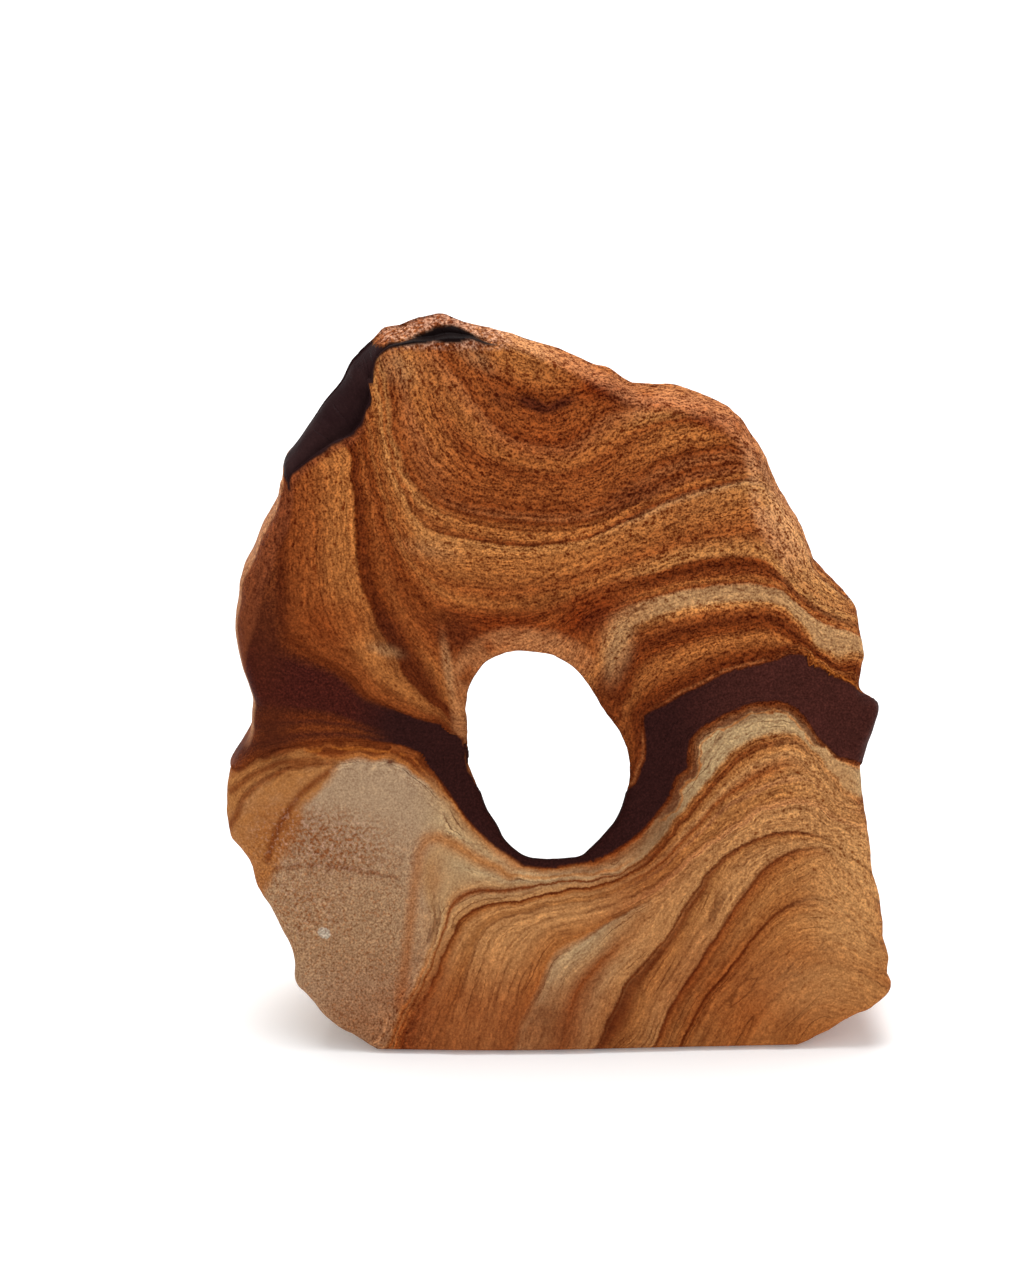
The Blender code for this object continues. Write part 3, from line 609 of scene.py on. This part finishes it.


# The iron: a hard maroon seam that crosses the whole stone. It stands a little proud of
# the sand round it. At the upper left another such seam shows where the shoulder and the
# groove above it broke open, and it runs round on to the side. In the groove its near
# black is painted shade of the recess as well.
IRON_PROUD = 0.22
# How far the dark seam, with its painted shade in the groove, runs beyond the front's edge,
# by angle round the hole
DARK_REACH = points(
    96.5, 0, 97.5, 1.2, 98.5, 2.6, 100, 3.9, 103, 6.2, 105, 6, 107, 5, 110, 3.8, 112.5, 3.6,
    113.5, 5.5, 115, 13, 120, 17, 126, 16, 130, 13, 133, 9, 134.5, 0,
)

# The grain: sand grains, the edges of the beds weathered to fine ribs, and chips along
# the broken sides, by how far each moves the skin in or out
GRAIN_HEIGHTS = ((0.75, 0.05), (1.7, 0.07), (4.5, 0.10))
RIB_HEIGHT = 0.075
RIB_BEDS = 0.95
RIB_RUN = 0.05
CHIP_HEIGHT = 0.22
CHIP_SIZE = 2.4
CHIPPED_SIDE_END = (45.0, 60.0)
CRACK_DEPTH = 0.25
CRACK_HALF = 0.3

angles = even_angles(SECTIONS)
x, y, z = skin(angles)
flat = np.stack((x, y, z), axis=-1)
walked = np.cumsum(np.linalg.norm(np.diff(flat, axis=0, prepend=flat[:1]), axis=-1), axis=0)
past_edge = walked - walked[FACE_STEPS]

# Where each point lies in the beds
behind = np.maximum(y - front(x, z), 0.0)
wander = BED_WANDER * (1 - np.exp(-behind / WANDER_START))
bed_x = x + BED_DRIFT * behind + wander * lattice_noise(flat, 16.0, 3)
bed_z = z + BED_DIP * behind + wander * lattice_noise(flat, 13.0, 5)
bed, crowding = bed_at(bed_x, bed_z)
iron_top, iron_foot = (points(*path) for number, *path in BEDS if number in (IRON_TOP, IRON_FOOT))
in_from_top = distance_to_path(iron_top, bed_x, bed_z) * np.sign(bed - IRON_TOP)
in_from_foot = distance_to_path(iron_foot, bed_x, bed_z) * np.sign(IRON_FOOT - bed)

# The dark seam of the broken shoulder, and painted shade in the groove above it
ragged = 0.35 * lattice_noise(flat, 1.1, 11) + 0.5 * lattice_noise(flat, 3.0, 12)
reach = np.interp(np.degrees(angles), *DARK_REACH.T, left=0.0, right=0.0)
dark = ease(past_edge + 0.8 * ragged, -0.15, 0.2) * (reach > 0)
dark = dark * ease(reach - past_edge + ragged * ease(reach, 2, 8), -0.1, 0.5)

# Relief, which fades out where the stone meets the ground
iron = ease(in_from_top, -0.15, 0.35) * ease(in_from_foot, -0.15, 0.35)
hard = np.maximum(iron, dark)
rib = lattice_noise(np.stack((bed, bed_x * RIB_RUN, y * RIB_RUN), axis=-1), RIB_BEDS, 21)
relief = RIB_HEIGHT * rib * (1 - hard) / np.maximum(crowding, 1.0) + IRON_PROUD * iron
for size, height in GRAIN_HEIGHTS:
    relief = relief + height * lattice_noise(flat, size, int(size * 10)) * (1 - 0.6 * hard)
broken = ease(past_edge, 0.5, 3.0) * (1 - ease(past_edge, *CHIPPED_SIDE_END)) * (1 - 0.7 * dark)
relief = relief + CHIP_HEIGHT * broken * lattice_noise(flat * (1, 0.6, 1), CHIP_SIZE, 31)
from_crack = distance_to_path(CRACK, x, z)
relief = relief - CRACK_DEPTH * np.exp(-(from_crack / CRACK_HALF)**2) * (behind < 0.5)
relief = relief * ease(z, 0.15, 1.2)

along = np.roll(flat, -1, 0) - np.roll(flat, 1, 0)
round_hole = np.roll(flat, -1, 1) - np.roll(flat, 1, 1)
outward = np.cross(along, round_hole)
outward = outward / np.linalg.norm(outward, axis=-1, keepdims=True)
surface = flat + outward * relief[..., None]
surface[..., 2] = np.maximum(surface[..., 2], 0.0)

# Quads between each row and the next, and each section and the next, both closed
order = np.arange(x.size).reshape(x.shape)
below, beside = np.roll(order, -1, 0), np.roll(order, -1, 1)
quads = np.stack((order, below, np.roll(below, -1, 1), beside), axis=-1).reshape(-1, 4)
mesh = bpy.data.meshes.new("stone_skin")
mesh.from_pydata(surface.reshape(-1, 3) * MM, [], quads)
mesh.shade_smooth()

# What the finish reads at each point: where it lies in the beds, how far it is from the
# edges and the lines, and the spots, which fade behind the front
round_trip = walked[-1] + np.linalg.norm(flat[0] - flat[-1], axis=-1)
mouth = np.where(np.arange(len(walked))[:, None] <= FACE_STEPS, walked, walked - round_trip)
rusty_lines = [distance_to_path(line, bed_x, bed_z) for line in RUSTY_LINES]
traits = {
    "bed": bed, "crowding": crowding, "across": bed_x, "from_top": in_from_top,
    "from_foot": in_from_foot, "dark": dark, "edge": past_edge, "mouth": mouth,
    "orange": depth_in(ORANGE_PATCH, bed_x, bed_z), "lines": np.minimum.reduce(rusty_lines),
    "hook": distance_to_path(HOOKED_LINE, bed_x, bed_z),
    "crack": distance_to_path(CRACK, bed_x, bed_z),
}
for name, spots in {
    "chippy": CHIPPY_SPOTS, "rusty": RUSTY_SPOTS, "marked": DARK_SPOTS, "pale": PALE_SPOTS,
    "fleck": FLECK, "lit_edges": LIT_EDGE_SPOTS,
}.items():
    traits[name] = spots_at(spots, bed_x, bed_z) * np.exp(-behind / SPOT_DEPTH)
for name, values in traits.items():
    mesh.attributes.new(name, "FLOAT", "POINT").data.foreach_set("value", values.ravel())


def stand(name, data):
    """A new object of the scene, made of the given data."""
    made = bpy.data.objects.new(name, data)
    bpy.context.scene.collection.objects.link(made)
    return made


stone = stand("stone_skin", mesh)
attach(stone, "root")
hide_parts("stone")


# The finish: bare stone, unpolished. Sand in tan and cream, stained by iron to rust and
# umber bed by bed, and near black maroon where the iron is solid.


def paint(code):
    """Linear colour of a six-figure screen colour: ((c + 0.055) / 1.055)^2.4."""
    parts = [int(code[at:at + 2], 16) / 255 for at in (0, 2, 4)]
    return [((part + 0.055) / 1.055)**2.4 for part in parts] + [1.0]


COLOURS = {name: paint(code) for name, code in dict(
    cream="aa8d68", biscuit="a57b52", peach="b87c4e", sand="a36b3b", honey="9f6131",
    tan="96592c", fawn="8d522d", brown="864720", russet="7b3d1a", rust="6e3313",
    umber="5c270e", rim="70381f", straw="b07c4c", clay="8a4c28", linen="a4876a",
    blush="cb9266", glow="bd8854", buff="a87f56", pearl="ab8d66", quartz="b9b3a4",
    shell="c79a82", soot="401710", dusk="5a2409", black="260f0e", bark="4b1f0f",
    ember="ad6226", maroon="3d1d18", liver="43201b", plum="251314", damson="2d1a1a",
    coal="130909", rose="d9b098", milk="e8ceb2", copper="c8957c", toast="a87858",
).items()}
# Brighter than white, to lighten what it multiplies
PALER = (1.9, 1.9, 1.8, 1.0)

# The colour at each bed number, above and below the iron, at the left, middle and right
OVER_LEFT = """
    -8 tan, 5 brown, 7 fawn, 12 honey, 14 fawn, 16.5 brown, 17.3 russet, 18.4 sand, 19.4 brown,
    20.4 sand, 22.5 tan, 25.5 brown, 27.5 tan, 29.2 brown, 31.2 rust, 33 russet, 34.4 brown,
    36 rust, 37 umber, 38.7 umber, 39.1 tan, 40.4 honey, 42 tan, 43.5 brown, 45.5 russet,
    46.5 umber"""
OVER_MIDDLE = """
    -8 peach, -6 honey, -4 tan, -2.2 brown, -1.2 rust, 0 russet, 1.2 russet, 3 brown, 5 russet,
    6 fawn, 8.5 tan, 10.5 russet, 12 brown, 13.5 brown, 15.5 russet, 16.4 fawn, 17.2 rust,
    18.3 tan, 19.1 honey, 19.8 russet, 20.2 sand, 22 honey, 24 tan, 26 brown, 28 tan, 29.8 russet,
    31.2 brown, 33 russet, 34.6 brown, 35.5 honey, 37 umber"""
OVER_RIGHT = """
    1 sand, 5.5 peach, 8 sand, 9.3 russet, 10.6 tan, 12 tan, 13.5 rust, 15 fawn, 16.3 russet,
    17.6 fawn, 18.6 honey, 19.5 rust, 20.1 biscuit, 21 sand, 24 tan, 26.5 brown, 28.6 sand,
    29.6 sand, 30.3 rust, 31.3 umber, 32.3 russet, 32.9 tan, 33.5 russet, 34.1 buff, 36.2 biscuit,
    37 sand, 38.2 brown, 39.5 umber, 41 rust, 42.3 tan, 44.3 rust, 45.5 umber"""
UNDER_LEFT = """
    54 rust, 54.3 brown, 54.6 rust, 54.85 honey, 55.05 linen, 56.4 linen, 56.6 biscuit, 56.8 honey,
    57.05 biscuit, 57.3 sand, 57.5 russet, 57.75 sand, 58.4 brown, 59 rust, 59.6 clay, 62 clay,
    63 russet, 64 clay"""
UNDER_MIDDLE = """
    54 umber, 54.3 honey, 54.8 biscuit, 55.6 cream, 56.2 straw, 56.8 cream, 57.25 biscuit,
    57.5 russet, 57.8 biscuit, 58.7 straw, 59 rust, 59.5 honey, 60.5 straw, 62.4 sand, 63.2 straw,
    65 straw, 67 straw, 68.8 honey, 69.2 cream, 70 biscuit, 70.5 brown, 71.2 biscuit, 71.8 straw,
    72.1 umber, 73 sand"""
UNDER_RIGHT = """
    54 umber, 54.25 honey, 54.6 pearl, 56.6 pearl, 57.3 sand, 57.8 honey, 58.4 rust, 59 tan,
    60 sand, 60.6 straw, 61.6 brown, 62.4 sand, 62.9 peach, 63.4 sand, 65.5 sand, 67.8 peach,
    68.4 straw, 71.8 straw, 72.2 rust, 72.6 sand, 73.8 straw, 74.7 straw, 75.2 russet, 76 tan,
    77.5 sand, 79.7 honey, 80 rust, 80.6 honey, 82 sand, 87.9 honey, 89 sand, 94 honey"""
# On the far left the iron frays into streaks, and above the hollow it thins out to rust
FRAYED_IRON = """
    46.5 russet, 47 umber, 47.5 bark, 48.2 soot, 51.6 soot, 52 bark, 52.5 umber, 52.8 bark,
    53.3 rust, 53.6 bark, 54 rust"""
THINNED_IRON = "46.5 russet, 48.5 brown, 51 tan, 54 tan"
# Beds that part from the next along a fine dark line: how strong it is, and their numbers
PARTINGS = (
    (0.2, 84.5),
    (0.25, 3, 6.4, 21.6, 23.2, 27, 60.4, 64.4, 67.4, 74.2, 82.6),
    (0.3, 8.4, 10.4, 25, 61.6, 70.5, 78.8, 88, 93),
    (0.35, 4.6, 17.1, 28.6, 73.3, 76.4, 77.6, 81.2),
    (0.4, 13.2, 15.2),
    (0.45, 12.2),
    (0.5, 14.3, 66, 69),
    (0.6, 31.2, 57.5, 63),
    (0.7, 16.2, 18.1),
    (0.75, 80),
    (0.8, 19.9, 75.1),
    (0.85, 59, 72),
)
PARTING_HALF = 0.34
# A line stronger than this never breaks off
UNBROKEN = 0.8

finish = bpy.data.materials.new("banded_sandstone")
finish.use_nodes = True
tree = finish.node_tree
shader = tree.nodes["Principled BSDF"]
shader.inputs["Specular IOR Level"].default_value = 0.03


def feed(value, socket):
    """Joins an output to a socket, or sets the socket to a plain value."""
    if isinstance(value, bpy.types.NodeSocket):
        tree.links.new(value, socket)
    else:
        socket.default_value = value


def fitted(kind, values, **settings):
    """A node of the given kind, with its settings, and with values fed to its sockets."""
    node = tree.nodes.new("ShaderNode" + kind)
    for name, setting in settings.items():
        setattr(node, name, setting)
    for socket, value in values.items():
        feed(value, node.inputs[socket])
    return node


def step_of(kind):
    """A function that works through its values by one kind of arithmetic, left to right."""
    def work(first, *others):
        """The first value, then each of the others worked into it."""
        for other in others:
            first = fitted("Math", {0: first, 1: other}, operation=kind).outputs[0]
        return first
    return work


plus, less, times, shared, most, least, plain_size = map(step_of, (
    "ADD", "SUBTRACT", "MULTIPLY", "DIVIDE", "MAXIMUM", "MINIMUM", "ABSOLUTE"))


def unless(value):
    """1 less the value."""
    return less(1.0, value)


def eased(value, low, high):
    """0 at low, 1 at high, and a smooth step between."""
    return fitted("MapRange", {"Value": value, "From Min": low, "From Max": high},
                  interpolation_type="SMOOTHSTEP").outputs["Result"]


def stripe(value, centre, half):
    """1 on the centre value, falling smoothly to 0 at half a width to each side."""
    return unless(eased(plain_size(less(value, centre), 0.0), 0.0, half))


def blend(share, first, second):
    """From one value to another by a share from 0 to 1."""
    return fitted("Mix", {0: share, 2: first, 3: second}, data_type="FLOAT").outputs[0]


def mixed(share, under, over, kind="MIX"):
    """One colour laid over another by a share from 0 to 1."""
    return fitted("Mix", {0: share, 6: under, 7: over}, data_type="RGBA",
                  blend_type=kind).outputs[2]


def marked(colour, *marks, kind="MIX"):
    """The colour under one mark after the other, each a colour's name and its shares. The marks
    are stains, pale places, painted highlight and painted shade.
    """
    for name, *shares in marks:
        colour = mixed(times(*shares), colour, COLOURS[name], kind)
    return colour


def graded(colour, amount):
    """A colour times PALER where the amount is above 0, darker and redder where below."""
    paler = mixed(most(amount, 0.0), colour, PALER, "MULTIPLY")
    return mixed(least(most(times(amount, -1.0), 0.0), 1.0), paler, COLOURS["toast"], "MULTIPLY")


def cloud(where, each_mm, detail=2.0, seed=0.0):
    """Cloudy noise from 0 to 1 with so many lumps to the millimetre."""
    return fitted("TexNoise", {"Vector": where, "W": seed, "Scale": each_mm, "Detail": detail},
                  noise_dimensions="4D").outputs["Fac"]


def trait(name):
    """A value stored at each point of the skin."""
    return fitted("Attribute", {}, attribute_name=name).outputs["Fac"]


def banded(number, table):
    """Colour by bed number: a ramp with one stop for each number and name of the table."""
    stops = [(float(at), COLOURS[name]) for at, name in map(str.split, table.split(","))]
    (lowest, first), (highest, last) = stops[0], stops[-1]
    node = fitted("ValToRGB", {"Fac": shared(less(number, lowest), highest - lowest)})
    ramp = node.color_ramp.elements
    for at, colour in stops[1:-1]:
        ramp.new((at - lowest) / (highest - lowest)).color = colour
    ramp[0].color, ramp[len(stops) - 1].color = first, last
    return node.outputs["Color"]


def three_across(*tables):
    """Colour of the beds from three tables, blended from the left by way of the middle."""
    left, middle, right = (banded(layer, table) for table in tables)
    return mixed(to_right, mixed(to_middle, left, middle), right)


# The place on the stone, in millimetres
in_metres = fitted("TexCoord", {}).outputs["Object"]
here = fitted("VectorMath", {0: in_metres, "Scale": 1 / MM}, operation="SCALE").outputs[0]
here_x, here_y, here_z = fitted("SeparateXYZ", {0: here}).outputs


def sway(each_mm, detail, seed, reach=1.0):
    """Cloudy noise round 0, from half the reach below it to half the reach above it."""
    middled = less(cloud(here, each_mm, detail, seed), 0.5)
    return middled if reach == 1.0 else times(middled, reach)


# The beds waver by a fraction of a millimetre, grain by grain
waver = plus(sway(0.35, 2.0, 1.0, 0.7), sway(2.6, 1.0, 2.0, 0.4))
crowd = trait("crowding")
layer = plus(trait("bed"), times(waver, crowd))


def laid(size, seed, detail=1.0, along=0.3):
    """Noise in sheets that follow the beds, of the given thickness in millimetres.

    The place is the bed number times the beds' thickness, with x, y and z at a lower
    rate so that the sheets run out. Three thicknesses of bed are blended by crowding.
    """
    made = []
    for thick in (3.6, 1.5, 0.6):
        place = fitted("CombineXYZ", {
            0: times(layer, thick / size),
            1: times(here_x, along / size),
            2: times(here_z, along / size),
        }).outputs[0]
        made.append(cloud(place, 1.0, detail, plus(times(here_y, along / size), seed)))
    thinner = blend(eased(crowd, 0.36, 0.5), made[0], made[1])
    return blend(eased(crowd, 0.9, 1.1), thinner, made[2])


across = plus(trait("across"), sway(0.12, 3.0, 3.0, 9.0))
to_middle, to_right = eased(across, -22.0, -13.0), eased(across, 5.0, 15.0)
below_iron = eased(layer, 49.5, 50.5)
colour = mixed(below_iron, three_across(OVER_LEFT, OVER_MIDDLE, OVER_RIGHT),
               three_across(UNDER_LEFT, UNDER_MIDDLE, UNDER_RIGHT))
colour = graded(colour, sway(0.9, 3.0, 17.0, 0.5))

# Laminae: within each bed, sheets a grain or two thick, and fine dark lines between some
in_beds = eased(crowd, 0.1, 0.25)
lamina = laid(0.8, 4.0, 2.0, 0.07)
hair = stripe(laid(1.7, 5.0, 0.5, 0.03), 0.5, 0.03)
hair = times(hair, eased(cloud(here, 0.16, 2.0, 6.0), 0.4, 0.6), in_beds)
present = eased(cloud(here, 0.2, 2.0, 16.0), 0.3, 0.5)
beds_to_mm = most(crowd, 0.2)
lines = []
for strength, *numbers in PARTINGS:
    share = 1.0 if strength > UNBROKEN else present
    for number in numbers:
        line = stripe(shared(less(layer, number), beds_to_mm), 0.0, PARTING_HALF)
        lines.append(times(line, share, strength))
left_end = blend(below_iron, -26.0, -20.0), blend(below_iron, -18.0, -12.0)
parting = times(most(*lines), eased(across, *left_end))
streak_edge = stripe(shared(less(layer, 38.7), beds_to_mm), 0.0, 0.6)
parting = most(parting, times(streak_edge, eased(across, -19.0, -24.0), 0.65))
colour = graded(colour, times(less(lamina, 0.49), in_beds, 1.4))
colour = marked(colour, ("dusk", most(times(hair, 0.6), parting)))

# Stains and pale places, darker towards the foot, and painted highlight and painted shade where
# said below
patchy = plus(0.65, times(cloud(here, 0.5, 3.0, 7.0), 0.7))
orange = eased(plus(trait("orange"), sway(0.4, 3.0, 14.0, 3.0)), -0.8, 0.8)
orange = times(orange, eased(layer, 53.9, 54.4))
colour = marked(
    colour,
    ("sand", orange, patchy, 0.95),
    ("rust", stripe(trait("lines"), 0.0, 0.9), orange, patchy, 0.8),
    ("honey", stripe(trait("hook"), 0.0, 1.5), 0.6),
)
colour = marked(colour, ("rose", trait("rusty"), patchy), kind="MULTIPLY")
# Darker towards the foot, and darker and warmer low on the left
by_foot = times(eased(here_z, 12.0, 3.0), eased(here_x, -24.0, -18.0), eased(here_x, 9.0, 0.0))
colour = marked(colour, ("fawn", by_foot, patchy, 0.5))
low_left = times(eased(here_x, -16.0, -24.0), eased(here_z, 36.0, 20.0))
lowest_left = times(low_left, unless(eased(here_z, 14.0, 8.0)))
colour = marked(colour, ("milk", lowest_left, 0.5), kind="MULTIPLY")
crack = stripe(plus(trait("crack"), sway(1.1, 3.0, 20.0, 1.3)), 0.1, 0.4)
colour = marked(
    colour,
    ("fawn", low_left, eased(cloud(here, 2.8, 1.0, 23.0), 0.55, 0.66), 0.5),
    ("buff", trait("pale"), patchy),
    # painted highlight on the edges and shoulders at the right, where they catch the light
    ("glow", trait("lit_edges"), patchy),
    # a dark line along the crack: painted shade in it
    ("rust", crack, eased(cloud(here, 0.9, 4.0, 21.0), 0.3, 0.55), 0.55),
    ("quartz", eased(trait("fleck"), 0.35, 0.6), 0.65),
)

# The rounded mouth of the hole gets a painted highlight on its left half, where it catches the
# light, and is darker and redder on its right half; the edges at the top and the right get a
# painted highlight where they catch the light
patchy_rim = eased(cloud(here, 0.35, 3.0, 18.0), 0.2, 0.6)
mouth_end = plus(1.3, times(eased(here_z, 50.0, 55.0), 1.6))
mouth_rim = times(eased(trait("mouth"), -4.0, -2.4),
                  eased(less(trait("mouth"), mouth_end), 0.0, -1.8))
mouth_right = eased(less(here_x, times(here_z, 0.3)), -13.0, -9.0)
# painted highlight along the edges at the right and the top right, where they catch the light
lit_edge_start = blend(eased(here_z, 74.0, 84.0), -3.6, -0.6)
lit_edge_right = times(eased(plus(here_x, times(here_z, 0.6)), 42.0, 52.0), eased(here_z, 64.0, 71.0))
lit_edges = times(eased(less(trait("edge"), lit_edge_start), 0.0, 1.8), patchy_rim, lit_edge_right)
colour = marked(
    colour,
    # painted highlight on the left half of the mouth
    ("peach", mouth_rim, patchy_rim, 0.6, unless(mouth_right)),
    ("russet", mouth_rim, mouth_right, 0.4),
    ("blush", lit_edges, 0.5),
)
top_rim = times(eased(trait("edge"), -1.0, 0.5), eased(here_z, 80.0, 86.0),
                eased(here_x, -4.0, 2.0))
colour = marked(colour, ("copper", top_rim, 0.45), kind="MULTIPLY")
chips = cloud(here, 2.2, 2.0, 19.0)
colour = marked(
    colour,
    # dark where the pitted patch dips and pale where it rises: partly the sand's colour, partly
    # painted shade in the pits and painted highlight on the bumps
    ("brown", trait("chippy"), eased(chips, 0.52, 0.38), 0.8),
    ("shell", trait("chippy"), eased(chips, 0.54, 0.66), 0.5),
)

# The iron's fringes: thin lines of rust and umber along its top and its foot
ragged_in = sway(1.3, 3.0, 9.0, 0.4)
from_top, from_foot = plus(trait("from_top"), ragged_in), plus(trait("from_foot"), ragged_in)
on_left, on_right = unless(eased(across, -31.0, -23.0)), eased(across, 4.0, 12.0)
some = eased(cloud(here, 0.35, 2.0, 13.0), 0.35, 0.6)
on_arch = times(eased(here_x, 12.0, 17.0), eased(here_x, 36.0, 29.0))
arched = most(times(some, eased(here_z, 36.0, 42.0)), times(stripe(here_x, 19.0, 6.0), 1.3),
              times(plus(0.8, times(some, 0.8)), on_arch))
foot_line = plus(from_foot, arched)
colour = marked(
    colour,
    ("umber", stripe(from_top, -1.1, 0.5), on_right, 0.85),
    ("fawn", stripe(from_top, -0.35, 0.4), on_right, some, 0.7),
    ("ember", stripe(from_top, -0.15, 0.5), eased(here_x, 32.0, 38.0), 0.8),
    ("umber", eased(foot_line, -0.35, 0.15), eased(from_top, -0.3, 0.0), 0.8),
    ("ember", stripe(foot_line, -0.35, 0.35), eased(arched, 0.3, 1.0), 0.6),
)

# The iron itself, near black beside the hole and frayed into streaks on the far left
iron_edge = blend(on_left, 0.25, 1.2)
iron_share = times(eased(from_top, -0.1, iron_edge), eased(from_foot, -0.1, 0.25))
iron_colour = marked(
    COLOURS["maroon"],
    ("liver", eased(cloud(here, 0.25, 4.0, 10.0), 0.35, 0.7)),
    ("black", eased(here_x, 26.0, 15.0), 0.8),
)
high_up = eased(here_z, 56.0, 66.0)
frayed = mixed(high_up, banded(layer, FRAYED_IRON), banded(layer, THINNED_IRON))
grit = cloud(here, 3.5, 1.0, 8.0)
gritty = less(grit, 0.5)
iron_colour = graded(mixed(on_left, iron_colour, frayed), times(gritty, 2.2))
colour = mixed(iron_share, colour, iron_colour)

# The left side with a painted highlight, the dark seam of the broken shoulder with painted
# shade in the groove above it, and the cap of sand on top of it
rim_start = less(3.4, times(eased(here_z, 48.0, 62.0), 4.2))
left_rim = plus(less(trait("edge"), rim_start), ragged_in)
above_hollow = eased(here_z, 41.0, 45.0)
cap = times(eased(here_z, 97.0, 98.2), eased(here_x, -5.0, -9.0))
cap_colour = mixed(eased(cloud(here, 1.6, 3.0, 22.0), 0.4, 0.6), COLOURS["rim"], COLOURS["shell"])
seam_and_shade_colour = marked(
    COLOURS["plum"],
    ("damson", eased(cloud(here, 0.3, 4.0, 11.0), 0.4, 0.7)),
    # near black over the groove at the top left: painted shade of the recess
    ("coal", eased(here_x, -26.0, -22.0)),
)
colour = marked(
    colour,
    # dark spots: stains, and the painted shadow of the chipped hollow below the top
    ("bark", trait("marked"), patchy),
    ("rim", eased(left_rim, -0.5, 0.5), on_left, above_hollow, 0.8),
    # a paler band on the left side where its rounded edge catches the light: painted highlight
    ("blush", eased(trait("edge"), 2.4, 3.4), on_left, above_hollow, 0.5),
)
colour = mixed(times(cap, 0.6), colour, cap_colour)
colour = mixed(trait("dark"), colour, seam_and_shade_colour)

# Grains, dark and light, in rows along the beds. They are coarser at the upper right and
# finer in the palest beds and in the iron. Their dark and light specks follow the bumps, so
# they are partly the sand's own speckle and partly painted shade in pits and painted highlight on
# grains.
hard = most(times(iron_share, unless(high_up), unless(times(on_left, 0.6))), trait("dark"))
coarse = eased(plus(here_z, times(here_x, 0.5)), 18.0, 95.0)
pale_over = times(eased(layer, 33.6, 34.2), eased(layer, 37.0, 36.0))
pale_under = times(eased(layer, 54.3, 54.8), eased(layer, 57.2, 56.6))
pale_beds = times(most(pale_over, pale_under), to_right)
coarseness = plus(0.45, times(low_left, 0.45), times(coarse, 1.05))
rough = times(unless(times(hard, 0.84)), coarseness, unless(times(pale_beds, 0.4)))
rows = times(less(laid(0.31, 8.5, 1.0, 0.34), 0.5), in_beds)
lift = plus(times(gritty, 3.4), times(rows, 3.4), times(coarse, 0.07))
feed(graded(colour, times(lift, rough)), shader.inputs["Base Color"])

# Sand is dead matt, iron a little smoother, and the broken seam has a dull shine
smoother = plus(times(iron_share, 0.3), times(trait("dark"), 0.42))
feed(less(0.92, smoother), shader.inputs["Roughness"])
grain = plus(times(grit, 0.6), plus(rows, times(cloud(here, 0.9, 2.0, 12.0), 0.8)))
height = plus(times(grain, rough), times(chips, trait("chippy"), 2.6),
              times(lamina, in_beds, rough, 0.7))
height = less(height, times(most(hair, parting), 0.35))
bump = fitted("Bump", {"Strength": 1.0, "Distance": 0.2 * MM, "Height": height})
feed(bump.outputs["Normal"], shader.inputs["Normal"])
mesh.materials.append(finish)


# The stage: a plain pale floor, a large soft light above and behind the stone, a weak
# fill from the front, both a little to the right, and an even pale surround
FLOOR_HALF = 2.2
floor_mesh = bpy.data.meshes.new("floor")
floor_mesh.from_pydata([(-FLOOR_HALF, -FLOOR_HALF, 0), (FLOOR_HALF, -FLOOR_HALF, 0),
                        (FLOOR_HALF, FLOOR_HALF, 0), (-FLOOR_HALF, FLOOR_HALF, 0)],
                       [], [(0, 1, 2, 3)])
floor = stand("floor", floor_mesh)
floor_paint = bpy.data.materials.new("floor_paint")
floor_paint.use_nodes = True
floor_look = floor_paint.node_tree.nodes["Principled BSDF"].inputs
floor_look["Base Color"].default_value = (0.95, 0.95, 0.95, 1)
floor_look["Roughness"].default_value = 0.7
floor_look["Emission Color"].default_value = (1, 1, 1, 1)
floor_look["Emission Strength"].default_value = 0.15
floor_mesh.materials.append(floor_paint)

surround = bpy.data.worlds.new("surround")
surround.use_nodes = True
surround_look = surround.node_tree.nodes["Background"].inputs
surround_look["Color"].default_value = (1, 1, 1, 1)
surround_look["Strength"].default_value = 0.55
bpy.context.scene.world = surround

# name, energy, width of the light seen from the stone, how far from upright it comes
# (more than 0 from the front) and how far it is turned, all in degrees
LIGHTS = (("overhead", 2.7, 50.0, -17.0, 10.0), ("front_fill", 0.4, 70.0, 66.0, 30.0))
for light_name, energy, width, tilt, turned in LIGHTS:
    lamp = bpy.data.lights.new(light_name, "SUN")
    lamp.energy = energy
    lamp.angle = math.radians(width)
    stand(light_name, lamp).rotation_euler = (math.radians(tilt), 0, math.radians(turned))

# The camera looks down on the stone by 18 degrees, from a little over half a metre
VIEW_DOWN = math.radians(18.0)
VIEW_DISTANCE = 0.6197
VIEW_CENTRE = (-0.0063, -0.0045, 0.0574)
camera = stand("camera", bpy.data.cameras.new("camera"))
camera.data.sensor_width = 36.0
camera.data.lens = 123.75
camera.location = (VIEW_CENTRE[0], VIEW_CENTRE[1] - VIEW_DISTANCE * math.cos(VIEW_DOWN),
                   VIEW_CENTRE[2] + VIEW_DISTANCE * math.sin(VIEW_DOWN))
camera.rotation_euler = (math.pi / 2 - VIEW_DOWN, 0, 0)
bpy.context.scene.camera = camera
bpy.context.scene.view_settings.view_transform = "Standard"
